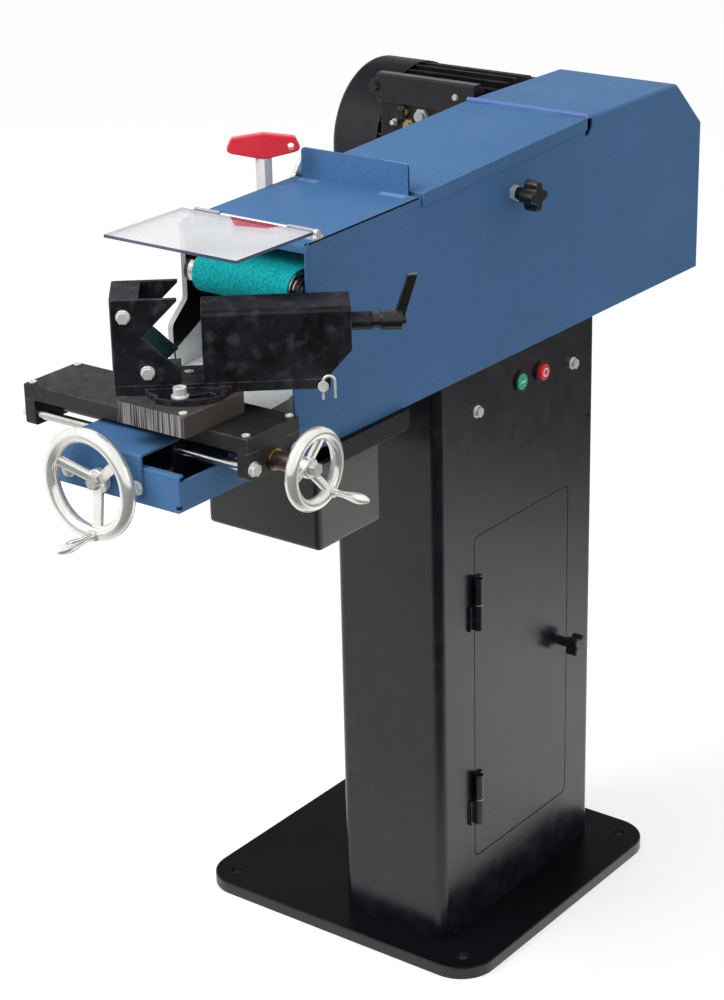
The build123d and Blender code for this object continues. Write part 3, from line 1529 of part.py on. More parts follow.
def wheel_shape(radius, rim, hub_radius, setback):
    """A dished handwheel about Z: rim round the XY plane, hub set back, spokes falling to the hub."""
    depth = (setback + wheel_hub_length) / 2
    hub = Pos(0, 0, -depth) * Cylinder(hub_radius, wheel_hub_length - setback)
    wheel = fillet(hub.edges(), wheel_hub_round)
    length = sqrt((radius - rim) ** 2 + depth ** 2)
    tilt = degrees(atan2(depth, radius - rim))
    width = hub_radius * wheel_spoke_width_share
    thickness = hub_radius * wheel_spoke_depth_share
    spoke_round = thickness / 2 * wheel_spoke_round_share
    for number in range(wheel_spoke_count):
        spoke = fillet(Box(length, width, thickness).edges().filter_by(Axis.X), spoke_round)
        spoke = Pos(length / 2, 0, 0) * spoke
        turn = wheel_first_spoke + number * 360 / wheel_spoke_count
        wheel += Rot(0, 0, turn) * Pos(0, 0, -depth) * Rot(0, -tilt, 0) * spoke
    ring = Plane.XZ * (Pos(radius - rim, 0) * Rot(0, 0, wheel_rim_seam) * Circle(rim))
    return wheel + revolve(ring, Axis.Z)


def handle_shape(length):
    """A turned handle standing on the XY plane."""
    foot = length * handle_foot_share
    tip = length * handle_tip_share
    shoulder = length - tip / 2
    belly = Spline((foot, 0), (length * handle_neck_share, length * handle_neck_place),
                   (length * handle_belly_share, length * handle_belly_place), (tip, shoulder))
    rest = Polyline((tip, shoulder), (tip / 2, length), (0, length), (0, 0), (foot, 0))
    return revolve(Plane.XZ * make_face(belly + rest), Axis.Z)


def make_handwheel(radius, rim, hub_radius, setback, bore_radius, turn, length):
    """Handwheel and its handle about Z, turned so that the handle's spoke stands at an angle."""
    wheel = wheel_shape(radius, rim, hub_radius, setback)
    wheel -= Pos(0, 0, -wheel_hub_length / 2) * Cylinder(bore_radius, 2 * wheel_hub_length)
    nut_seat = wheel_nut_flats / sqrt(3) + seat_gap
    wheel -= Pos(0, 0, -setback / 2) * Cylinder(nut_seat, setback)
    seat = Rot(0, 0, wheel_first_spoke) * Pos(radius - rim, 0, 0)
    half_boss = rim * wheel_boss_share / 2
    rise = rim * wheel_boss_rise_share
    boss = (-half_boss, half_boss)
    wheel += seat * block(boss, boss, (-rim * wheel_boss_drop_share, rise))
    handle = seat * Pos(0, 0, rise) * handle_shape(length)
    return [Rot(0, 0, turn - wheel_first_spoke) * piece for piece in (wheel, handle)]


def make_front_handwheel():
    pieces = make_handwheel(front_wheel_radius, front_wheel_rim, front_wheel_hub_radius, front_wheel_setback,
                            feed_screw_radius, front_wheel_turn, front_handle_length)
    place = Pos(feed_x, front_wheel_plane_y, feed_axis_z) * Rot(90, 0, 0)
    return [place * piece for piece in pieces]


def make_right_handwheel():
    pieces = make_handwheel(right_wheel_radius, right_wheel_rim, right_wheel_hub_radius, right_wheel_setback,
                            cross_screw_radius, right_wheel_turn, right_handle_length)
    place = Pos(right_wheel_plane_x, table_y, cross_axis_z) * Rot(0, 90, 0)
    return [place * piece for piece in pieces]


def block_spans():
    """X and Y spans of the swivel block."""
    return ((block_x - block_width / 2, block_x + block_width / 2),
            (block_y - block_depth / 2, block_y + block_depth / 2))


def make_swivel_block():
    xs, ys = block_spans()
    body = block(xs, ys, (table_top_z, block_top_z))
    body += rod("z", (block_top_z, swivel_top_z), (pivot_x, pivot_y), pivot_pin_radius)
    return body


def jaw_rear():
    """V of the jaws' rear face."""
    return jaw_front + jaw_depth


def swivel_sector(radius, start, end):
    """A sector of the swivel plate, in the vise's own directions."""
    arc = CenterArc((0, 0), radius, start, end - start)
    face = make_face(arc + Polyline(arc @ 1, (0, 0), arc @ 0))
    return extrude(Pos(0, 0, swivel_bottom_z) * face, swivel_thickness)


def make_swivel_plate():
    disc = rod("z", (swivel_bottom_z, swivel_top_z), (0, 0), swivel_radius)
    disc += swivel_sector(sector_radius, sector_from, sector_to)
    bar_low = swivel_bottom_z + moving_gap
    disc += block((bar_from, bar_to + bar_lug), (jaw_front, jaw_rear()), (bar_low, bar_top_z))
    pin_u, pin_z = jaw_pin_place()
    disc -= rod("y", (jaw_front, jaw_rear()), (pin_u, pin_z), jaw_pin_radius)
    disc -= rod("z", (swivel_bottom_z - swivel_thickness, swivel_top_z), (0, 0),
                pivot_pin_radius + running_clearance)
    ring = tube("z", (swivel_bottom_z, swivel_top_z), (0, 0), slot_radius + slot_width / 2,
                slot_radius - slot_width / 2)
    disc -= ring & swivel_sector(2 * sector_radius, slot_from, slot_to)
    # Post that the clamp spindle is threaded through
    post_v = (clamp_v() - clamp_post_width / 2, clamp_v() + clamp_post_width / 2)
    post = block((clamp_post_from, clamp_post_from + clamp_post_length), post_v,
                 (bar_top_z, clamp_axis_z + clamp_post_over))
    disc += post - rod("x", (clamp_post_from, clamp_post_from + clamp_post_length), (clamp_v(), clamp_axis_z),
                       clamp_spindle_radius + running_clearance)
    return in_vise(disc)


def clamp_v():
    """V of the clamp spindle, at the middle of the jaws."""
    return jaw_front + jaw_depth / 2


def make_fixed_jaw():
    us = (fixed_jaw_left, fixed_jaw_right)
    vs = (jaw_front, jaw_front + fixed_jaw_depth)
    zs = (bar_top_z, fixed_jaw_top)
    sheet = fixed_jaw_sheet
    apex_u = us[1] - vee_depth
    inner_vs = (vs[0] + sheet, vs[1] - sheet)
    # Two upright plates on a floor, with a left wall and a short roof; the rear plate is open under the vee
    body = block(us, vs, zs)
    body -= block((us[0] + sheet, us[1] + sheet), inner_vs, (zs[0] + sheet, zs[1] - sheet))
    body -= block((us[0] + fixed_jaw_roof, us[1] + sheet), inner_vs, (zs[1] - 2 * sheet, zs[1] + sheet))
    body -= block((apex_u, us[1] + sheet), (inner_vs[1], vs[1]), (zs[0] + sheet, clamp_axis_z))
    vee = make_face(Polyline((apex_u, clamp_axis_z), (us[1] + sheet, clamp_axis_z + vee_depth + sheet),
                             (us[1] + sheet, clamp_axis_z - vee_depth - sheet), close=True))
    body -= extrude(Plane.XZ.offset(-vs[1] - sheet) * vee, fixed_jaw_depth + 2 * sheet)
    body = fillet(body.edges().filter_by(Axis.Z).group_by(Axis.X)[0], fixed_jaw_bend)
    # Bearing plate along the lower slope of the vee
    slope = vee_depth * sqrt(2)
    face = make_face(Polyline((0, -inner_vs[0]), (slope * vee_front_share, -inner_vs[0]),
                              (slope * vee_rear_share, -inner_vs[1]), (0, -inner_vs[1]), close=True))
    under = Plane((apex_u, 0, clamp_axis_z), x_dir=(1, 0, -1), z_dir=(-1, 0, -1))
    body += extrude(under * face, sheet)
    return in_vise(body)


def make_moving_jaw():
    us = (moving_jaw_left, moving_jaw_left + moving_jaw_length)
    vs = (jaw_front, jaw_rear())
    low = bar_top_z + moving_gap
    sheet = moving_jaw_sheet
    body = block(us, vs, (low, moving_jaw_top))
    body = fillet(body.edges().filter_by(Axis.X).group_by(Axis.Z)[-1], moving_jaw_bend)
    body -= block((us[0] + sheet, us[1] - sheet), (vs[0] + sheet, vs[1] - sheet),
                  (low - sheet, moving_jaw_top - sheet))
    cut_top = low + moving_jaw_cut_height
    corner = make_face(Polyline((us[1] - moving_jaw_cut_length, low - sheet), (us[1] + sheet, low - sheet),
                                (us[1] + sheet, cut_top), (us[1], cut_top), close=True))
    body -= extrude(Plane.XZ.offset(-vs[1] - sheet) * corner, jaw_depth + 2 * sheet)
    sleeve = (us[1] - sheet, us[1] + clamp_sleeve_length)
    body += rod("x", sleeve, (clamp_v(), clamp_axis_z), clamp_sleeve_radius)
    body -= rod("x", (us[1] - 2 * sheet, us[1] + 2 * clamp_sleeve_length), (clamp_v(), clamp_axis_z),
                clamp_spindle_radius + running_clearance)
    return in_vise(body)


def jaw_pin_place():
    """U and Z of the pin through the lug at the base bar's right end."""
    return (bar_to + bar_lug / 2, (swivel_bottom_z + moving_gap + bar_top_z) / 2)


def make_jaw_pin():
    u, z = jaw_pin_place()
    front = jaw_front - jaw_pin_proud
    pin = rod("y", (front, jaw_rear() + jaw_pin_tail), (u, z), jaw_pin_radius)
    pin += rod("y", (front - clip_wire_radius, front), (u, z), jaw_pin_head_radius)
    v = jaw_front - jaw_pin_proud / 2
    for side in (0, 1):
        leg = (z - clip_leg_length + side * clip_wire_radius, z + jaw_pin_radius)
        pin += rod("z", leg, (u + side * clip_leg_spacing, v), clip_wire_radius)
    upper_half = Box(4 * clip_leg_spacing, 2 * clip_leg_spacing, clip_leg_spacing)
    upper_half = Pos(0, clip_leg_spacing, 0) * upper_half
    loop = Torus(clip_leg_spacing / 2, clip_wire_radius) & upper_half
    pin += Pos(u + clip_leg_spacing / 2, v, z + jaw_pin_radius) * Rot(90, 0, 0) * loop
    return in_vise(pin)


def make_clamp_lever():
    end = moving_jaw_left + moving_jaw_length + clamp_sleeve_length + moving_gap
    at = (clamp_v(), clamp_axis_z)
    hub = (end + clamp_neck_length, end + clamp_neck_length + clamp_hub_length)
    lever = rod("x", (clamp_spindle_inner, hub[1]), at, clamp_spindle_radius)
    lever += rod("x", (end, hub[0] + clamp_hub_round), at, clamp_neck_radius)
    body = rod("x", hub, at, clamp_hub_radius)
    lever += fillet(body.edges(), clamp_hub_round)
    lever += rod("x", (hub[1] - clamp_hub_round, hub[1] + clamp_cap_length), at, clamp_cap_radius)
    # Flat tapered arm, leaning outward from the hub
    root_u = hub[0] + clamp_hub_length * clamp_arm_place
    tip_u = root_u + clamp_arm_lean
    top_z = clamp_axis_z + clamp_arm_rise
    tip_left = (tip_u - clamp_arm_tip / 2, top_z)
    face = make_face(Polyline((root_u - clamp_arm_root / 2, clamp_axis_z),
                              (root_u + clamp_arm_root / 2, clamp_axis_z),
                              (tip_u + clamp_arm_tip / 2, top_z), tip_left, close=True))
    face = fillet(face.vertices().sort_by_distance(Vector(*tip_left))[0], clamp_arm_round)
    arm_plane = Plane.XZ.offset(-clamp_v() - clamp_arm_thickness / 2)
    lever += extrude(arm_plane * face, clamp_arm_thickness)
    return in_vise(lever)


def write_node(name, shape):
    """Write one node: a solid, or a group of separate solids."""
    solids = shape if isinstance(shape, list) else [shape]
    group = Compound(children=[solid for piece in solids for solid in piece.solids()])
    export_step(group, os.path.join("parts", name + ".step"))


nodes = {
    "base_plate": make_base_plate(),
    "column": make_column(),
    "column_door": make_door(),
    "door_knob": make_door_knob(),
    "switch_block": make_switch_block(),
    "start_button": make_button(button_places()[0], start_button_proud),
    "stop_button": make_button(button_places()[1], stop_button_proud),
    "head_frame": make_head_frame(),
    "head_cover": make_head_cover(),
    "lid_hinge_pin": make_lid_hinge_pin(),
    "rear_lid": make_rear_lid(),
    "front_lid": make_front_lid(),
    "shield_strip": make_shield_strip(),
    "shield": make_shield(),
    "abrasive_belt": make_abrasive_belt(),
    "contact_roller": make_contact_roller(),
    "roller_bearings": make_roller_bearings(),
    "roller_axle": make_roller_axle(),
    "roller_fork": make_roller_fork(),
    "tension_lever": make_tension_lever(),
    "platen": make_platen(),
    "drive_wheel": make_drive_wheel(),
    "drive_tyre": make_drive_tyre(),
    "motor_shaft": make_motor_shaft(),
    "motor_housing": make_motor_housing(),
    "motor_end_shields": make_motor_end_shields(),
    "motor_bearings": make_motor_bearings(),
    "motor_stator": make_motor_stator(),
    "fan_cowl": make_fan_cowl(),
    "motor_fan": make_motor_fan(),
    "terminal_box": make_terminal_box(),
    "terminal_lid": make_terminal_lid(),
    "terminal_glands": make_terminal_glands(),
    "frame_bolts": make_frame_bolts(),
    "tracking_knob": make_tracking_knob(),
    "key_holder": make_key_holder(),
    "hex_key_grip": make_hex_key_grip(),
    "hex_key_shaft": make_hex_key_shaft(),
    "spark_chute": make_spark_chute(),
    "spark_box": make_spark_box(),
    "feed_tray": make_feed_tray(),
    "feed_saddle": make_feed_saddle(),
    "feed_rods": make_feed_rods(),
    "feed_screw": make_feed_screw(),
    "front_handwheel": make_front_handwheel(),
    "feed_carriage": make_feed_carriage(),
    "feed_nuts": make_feed_nuts(),
    "cross_table": make_cross_table(),
    "table_end_blocks": make_table_end_blocks(),
    "cross_rods": make_cross_rods(),
    "cross_bush": make_cross_bush(),
    "cross_screw": make_cross_screw(),
    "right_handwheel": make_right_handwheel(),
    "table_fasteners": make_table_fasteners(),
    "swivel_block": make_swivel_block(),
    "swivel_plate": make_swivel_plate(),
    "fixed_jaw": make_fixed_jaw(),
    "moving_jaw": make_moving_jaw(),
    "jaw_pin": make_jaw_pin(),
    "clamp_lever": make_clamp_lever(),
}

os.makedirs("parts", exist_ok=True)
for node_name, node_shape in nodes.items():
    write_node(node_name, node_shape)
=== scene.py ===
import math

import bmesh
import bpy
from mathutils import Matrix, Vector


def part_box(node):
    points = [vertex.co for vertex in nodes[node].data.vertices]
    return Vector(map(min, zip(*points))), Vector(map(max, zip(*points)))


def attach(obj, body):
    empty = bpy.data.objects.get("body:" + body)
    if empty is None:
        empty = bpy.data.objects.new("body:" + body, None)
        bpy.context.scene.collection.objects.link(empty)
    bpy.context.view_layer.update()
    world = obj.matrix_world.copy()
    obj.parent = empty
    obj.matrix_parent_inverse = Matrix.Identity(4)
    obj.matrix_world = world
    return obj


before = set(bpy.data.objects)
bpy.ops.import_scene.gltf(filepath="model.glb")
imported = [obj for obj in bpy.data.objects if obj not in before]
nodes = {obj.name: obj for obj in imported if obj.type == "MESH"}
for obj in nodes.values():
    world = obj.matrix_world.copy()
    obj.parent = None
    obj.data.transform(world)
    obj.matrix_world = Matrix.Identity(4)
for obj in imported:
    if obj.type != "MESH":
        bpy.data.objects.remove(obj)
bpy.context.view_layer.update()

# Camera: its place in metres, its turns in degrees, its lens and sensor in millimetres
camera_place = Vector((1.9235, -2.6776, 1.9449))
camera_azimuth = 37.314
camera_elevation = 22.095
camera_roll = -1.284
camera_lens = 87.78
camera_sensor = 36.0

# Studio, in metres and watts
white = (1.0, 1.0, 1.0, 1.0)
floor_size = 30.0
floor_colour = (0.6, 0.6, 0.6, 1.0)
floor_roughness = 0.9
floor_specular = 0.0
floor_glow = 0.58
sky_level = 0.63
sky_seen_level = 1.0
seen_rays = ("Is Camera Ray", "Is Glossy Ray", "Is Transmission Ray")
lamps = {
    "key": {"place": (-0.9, -2.6, 3.7), "target": (0.1, -0.1, 0.9), "size": 2.6, "power": 92.0},
    "side": {"place": (3.6, -0.6, 2.2), "target": (0.1, 0.0, 0.8), "size": 2.0, "power": 4.0},
}

# The floor's brightness in gloss: start and end of each change in metres, and the levels there
mirror_front_y = (-0.6, 0.6, 0.72, 1.0)
mirror_back_y = (0.7, 1.7, 1.35, 0.22)
mirror_diagonal = (0.7, 1.5, 1.0, 0.08)

# Noise: the span that most of its values lie in, and the detail of each of its uses
noise_span = (0.3, 0.7)
cloud_detail = 4.0
speck_detail = 2.0
grain_detail = 3.0
rough_detail = 5.0
rough_per_cloud = 4

# Lighter edges, partly real wear and partly painted highlight: how far the rounded normal leaves the flat
# one, and the patches of that colour
bevel_samples = 6
wear_and_highlight_span = (0.99, 0.86)
wear_and_highlight_scale = 60.0
wear_and_highlight_detail = 5.0
wear_and_highlight_share = (0.4, 0.65)

# Shares of a surface's facing along an axis at which a mask starts and is full
saw_front_turn = (-0.5, -0.9)
saw_side_turn = (0.5, 0.9)
plate_front_turn = (-0.3, -0.7)
side_turn = (0.6, 0.9)
foot_turn = (0.7, 0.9)
upper_turn = (0.3, 0.9)
sheet_turn = (0.3, 0.7)

# Saw lines: their noise, drawn out upright
saw_scale = 720.0
saw_share = (0.4, 0.62)
saw_stretch = (1.0, 1.0, 0.012)

# Places of painted highlights, fittings and plated details, in metres
plate_front_y = (-0.44, -0.496)
sleeve_nut_x = (0.2995, 0.3)
gland_seam = 0.0005
lid_screw_place = (-0.076, 0.188, 1.153)
lid_screw_rim = (0.0056, 0.0052)
lid_hinge_near_y = (0.1555, 0.1557)
lid_hinge_far_y = (0.1645, 0.1643)
lid_hinge_z = (1.1584, 1.1588)
stop_foot_y = (-0.258, -0.251)
stop_foot_x = ((-0.02, 0.011), (0.112, 0.152))
stop_foot_left_soft = 0.002
stop_foot_right_soft = 0.003

# Small pieces, in metres and degrees
mark_height = 0.0004
start_bar_length = 0.0115
start_bar_width = 0.0024
stop_ring_outer = 0.0066
stop_ring_inner = 0.0042
vise_turn = 40
jaw_bolts = ((0.0822, -0.7082, 1.0898), (0.1014, -0.6921, 1.0211))
jaw_bolt_flats = 0.014
jaw_bolt_height = 0.008
bar_screw = (0.1071, -0.6264, 1.0053)
bar_screw_outer = 0.0055
bar_screw_inner = 0.0002
bar_screw_height = 0.00012
bar_slot_length = 0.0085
bar_slot_width = 0.0016
bar_slot_height = 0.00016
hinge_axis = (0.174, -0.11975)
hinge_levels = (0.220, 0.528)
hinge_washer_outer = 0.0070
hinge_washer_inner = 0.0038
hinge_washer_height = 0.0016

# A bolt head's shape, as shares of its corner radius and of its height
washer_edge_share = 1.02
washer_rim_share = 1.06
washer_levels = (0.06, 0.14, 0.24)
head_chamfer_level = 0.86
head_top_share = 0.88
round_sides = 40
hex_sides = 6
arc_steps = 24


def linear(red, green, blue):
    """A display colour from 0 to 255 as a linear colour."""
    def channel(value):
        share = value / 255
        return share / 12.92 if share <= 0.04045 else ((share + 0.055) / 1.055) ** 2.4
    return (channel(red), channel(green), channel(blue), 1.0)


# Node graphs

class Graph:
    """The node tree of a material or a world, with short calls for the nodes that are used often."""

    # A mix node's two inputs and its output, for numbers and for colours
    mix_sockets = {"FLOAT": (2, 3, 0), "RGBA": (6, 7, 2)}

    def __init__(self, owner):
        owner.use_nodes = True
        self.owner = owner
        self.tree = owner.node_tree

    def add(self, kind):
        return self.tree.nodes.new(kind)

    def feed(self, value, socket):
        """Links another node's output to a socket, or sets the socket to a plain value."""
        if isinstance(value, bpy.types.NodeSocket):
            self.tree.links.new(value, socket)
        else:
            socket.default_value = value

    def dress(self, values):
        """Feeds the material's surface shader and gives the material back."""
        shader = self.tree.nodes["Principled BSDF"]
        for name, value in values.items():
            self.feed(value, shader.inputs[name])
        return self.owner

    def place(self):
        """Place in the object's own frame, in metres: for a CAD piece, the machine's frame at rest."""
        return self.add("ShaderNodeTexCoord").outputs["Object"]

    def part(self, vector, axis):
        """A vector's share along one axis."""
        node = self.add("ShaderNodeSeparateXYZ")
        self.feed(vector, node.inputs[0])
        return node.outputs[axis]

    def along(self, axis):
        """Place along an axis, in metres."""
        return self.part(self.place(), axis)

    def facing(self, axis):
        """How far the surface faces along an axis, from -1 to 1."""
        return self.part(self.add("ShaderNodeTexCoord").outputs["Normal"], axis)

    def worked(self, operation, first, second, kind="ShaderNodeMath"):
        """A number worked out from two numbers or, with a vector node, from two vectors."""
        node = self.add(kind)
        node.operation = operation
        self.feed(first, node.inputs[0])
        self.feed(second, node.inputs[1])
        return node.outputs["Value"]

    def product(self, first, *others):
        for other in others:
            first = self.worked("MULTIPLY", first, other)
        return first

    def ranged(self, value, start, end, at_start=0.0, at_end=1.0):
        """Goes from one number to another as a value goes from start to end, and stays there."""
        node = self.add("ShaderNodeMapRange")
        names = ("Value", "From Min", "From Max", "To Min", "To Max")
        for name, number in zip(names, (value, start, end, at_start, at_end)):
            self.feed(number, node.inputs[name])
        return node.outputs["Result"]

    def mixed(self, factor, first, second, kind="RGBA"):
        """Goes from a first to a second colour, or number, as a factor goes from 0 to 1."""
        node = self.add("ShaderNodeMix")
        node.data_type = kind
        first_socket, second_socket, result = self.mix_sockets[kind]
        self.feed(factor, node.inputs[0])
        self.feed(first, node.inputs[first_socket])
        self.feed(second, node.inputs[second_socket])
        return node.outputs[result]

    def noise(self, scale, detail=grain_detail, stretch=None):
        place = self.place()
        if stretch is not None:
            mapping = self.add("ShaderNodeMapping")
            self.feed(place, mapping.inputs["Vector"])
            self.feed(stretch, mapping.inputs["Scale"])
            place = mapping.outputs["Vector"]
        texture = self.add("ShaderNodeTexNoise")
        for name, value in (("Vector", place), ("Scale", scale), ("Detail", detail)):
            self.feed(value, texture.inputs[name])
        return texture.outputs["Fac"]

    def patches(self, scale, share, detail=grain_detail, stretch=None):
        """A mask of noise that goes from 0 to 1 over a share of the noise's values."""
        return self.ranged(self.noise(scale, detail, stretch), *share)

    def rounded(self, radius):
        """The surface's normal with its edges rounded by a radius."""
        node = self.add("ShaderNodeBevel")
        node.samples = bevel_samples
        self.feed(radius, node.inputs["Radius"])
        return node.outputs["Normal"]

    def edges(self, rounded):
        """A mask that is 1 where the rounded normal leaves the flat one."""
        flat = self.add("ShaderNodeNewGeometry").outputs["Normal"]
        return self.ranged(self.worked("DOT_PRODUCT", rounded, flat, "ShaderNodeVectorMath"), *wear_and_highlight_span)

    def bumped(self, height, strength, distance, normal):
        node = self.add("ShaderNodeBump")
        values = {"Height": height, "Strength": strength, "Distance": distance, "Normal": normal}
        for name, value in values.items():
            self.feed(value, node.inputs[name])
        return node.outputs["Normal"]

    def rays(self, first, *others):
        """A mask that is 1 for rays of the named kinds."""
        kinds = self.add("ShaderNodeLightPath").outputs
        mask = kinds[first]
        for other in others:
            mask = self.worked("MAXIMUM", mask, kinds[other])
        return mask


def finish(name, base, shade, speck=None, edge=None, metallic=0.0, rough=(0.3, 0.45), cloud=5.0,
           grain=500.0, grain_height=0.00006, bump=0.3, speck_scale=900.0, speck_share=(0.55, 0.75),
           stretch=None, edge_radius=0.0009, specular=0.5, top_specular=None, second=None, layers=()):
    """A surface that varies from base to shade in soft clouds, with specks, grain and lighter edges that are
    partly real wear and partly painted highlight.

    second is one more tone, with the scale and the share of its patches.
    """
    graph = Graph(bpy.data.materials.new(name))
    colour = graph.mixed(graph.patches(cloud, noise_span, cloud_detail), base, shade)
    if speck is not None:
        colour = graph.mixed(graph.patches(speck_scale, speck_share, speck_detail, stretch), colour, speck)
    if second is not None:
        tone, scale, share = second
        colour = graph.mixed(graph.patches(scale, share), colour, tone)
    for layer in layers:
        colour = layer(graph, colour)
    rounded = graph.rounded(edge_radius)
    # Lighter edges: partly real wear, partly painted highlight along the rounded edges
    if edge is not None:
        wear_and_highlight = graph.product(graph.edges(rounded), graph.patches(wear_and_highlight_scale, wear_and_highlight_share, wear_and_highlight_detail))
        colour = graph.mixed(wear_and_highlight, colour, edge)
    if top_specular is not None:
        specular = graph.ranged(graph.facing("Z"), *upper_turn, specular, top_specular)
    roughness = graph.noise(cloud * rough_per_cloud, rough_detail, stretch)
    return graph.dress({
        "Base Color": colour,
        "Metallic": metallic,
        "Roughness": graph.ranged(roughness, *noise_span, *rough),
        "Normal": graph.bumped(graph.noise(grain, grain_detail, stretch), bump, grain_height, rounded),
        "Specular IOR Level": specular,
    })


# Layers that some finishes add to their colour

def saw_lines(graph, colour):
    """Upright saw lines on the front face, and a brown tone on the right one."""
    lines = graph.patches(saw_scale, saw_share, stretch=saw_stretch)
    cut = graph.mixed(lines, linear(12, 11, 11), linear(164, 162, 160))
    colour = graph.mixed(graph.ranged(graph.facing("Y"), *saw_front_turn), colour, cut)
    return graph.mixed(graph.ranged(graph.facing("X"), *saw_side_turn), colour, linear(84, 74, 72))


def painted_front_highlight(graph, colour):
    """A painted highlight on the plate edges that face the front."""
    front = graph.ranged(graph.facing("Y"), *plate_front_turn)
    near = graph.ranged(graph.along("Y"), *plate_front_y)
    return graph.mixed(graph.product(front, near), colour, linear(190, 189, 188))


def painted_lit_side(graph, colour):
    """A right side painted lighter, as painted light."""
    return graph.mixed(graph.ranged(graph.facing("X"), *side_turn), colour, linear(90, 88, 86))


def bright_nut(graph, colour):
    """The zinc-plated nut at the end of a dark sleeve."""
    return graph.mixed(graph.ranged(graph.along("X"), *sleeve_nut_x), colour, linear(206, 207, 202))


def gland_tones(graph, colour):
    """Pale, black, brass and zinc fittings, each from its own place along the box."""
    tones = {-0.25: linear(214, 212, 206), -0.1807: linear(24, 24, 26), -0.165: linear(168, 140, 84),
             -0.149: linear(176, 184, 178)}
    for start, tone in tones.items():
        colour = graph.mixed(graph.ranged(graph.along("X"), start, start + gland_seam), colour, tone)
    return colour


def zinc_screw(graph, colour):
    """The zinc screw at the right of the terminal box's lid."""
    away = graph.worked("DISTANCE", graph.place(), lid_screw_place, "ShaderNodeVectorMath")
    return graph.mixed(graph.ranged(away, *lid_screw_rim), colour, linear(196, 194, 180))


def painted_hinge_highlight(graph, colour):
    """A painted highlight on the upper part of the rear lid's hinge."""
    near = graph.ranged(graph.along("Y"), *lid_hinge_near_y)
    far = graph.ranged(graph.along("Y"), *lid_hinge_far_y)
    raised = graph.ranged(graph.along("Z"), *lid_hinge_z)
    return graph.mixed(graph.product(near, far, raised), colour, linear(108, 132, 190))


def painted_foot_highlights(graph, colour):
    """Painted highlights on the front lid, at both ends of the work stop's foot."""
    strip = graph.ranged(graph.along("Y"), *stop_foot_y)
    level = graph.ranged(graph.facing("Z"), *foot_turn)
    for start, end in stop_foot_x:
        left_end = graph.ranged(graph.along("X"), start - stop_foot_left_soft, start + stop_foot_left_soft)
        right_end = graph.ranged(graph.along("X"), end + stop_foot_right_soft, end - stop_foot_right_soft)
        patch = graph.product(strip, level, left_end, right_end)
        colour = graph.mixed(patch, colour, linear(124, 157, 203))
    return colour


def painted_gap_shade(graph, colour):
    """Painted shade: a dark line along the front lid's right side, where the gap to the cover falls in
    shade.
    """
    return graph.mixed(graph.ranged(graph.facing("X"), *side_turn), colour, linear(14, 16, 22))


# Finishes

blue = dict(
    base=linear(72, 115, 160), shade=linear(80, 123, 169), speck=linear(110, 118, 178), rough=(0.4, 0.52),
    cloud=4.0, grain=700.0, grain_height=0.0001, bump=0.5, speck_scale=430.0, speck_share=(0.6, 0.76),
    specular=0.16, top_specular=0.02, second=(linear(38, 74, 122), 390.0, (0.6, 0.76)))
frame_black = dict(
    base=linear(14, 14, 17), shade=linear(24, 23, 27), speck=linear(50, 48, 52), edge=linear(110, 108, 106),
    rough=(0.24, 0.38), grain=600.0, top_specular=0.05, speck_share=(0.66, 0.82))
motor_black = dict(
    base=linear(20, 19, 23), shade=linear(34, 32, 38), speck=linear(66, 64, 68), cloud=18.0, grain=500.0,
    speck_share=(0.66, 0.82))
button = dict(rough=(0.18, 0.26), cloud=60.0, edge_radius=0.0005)
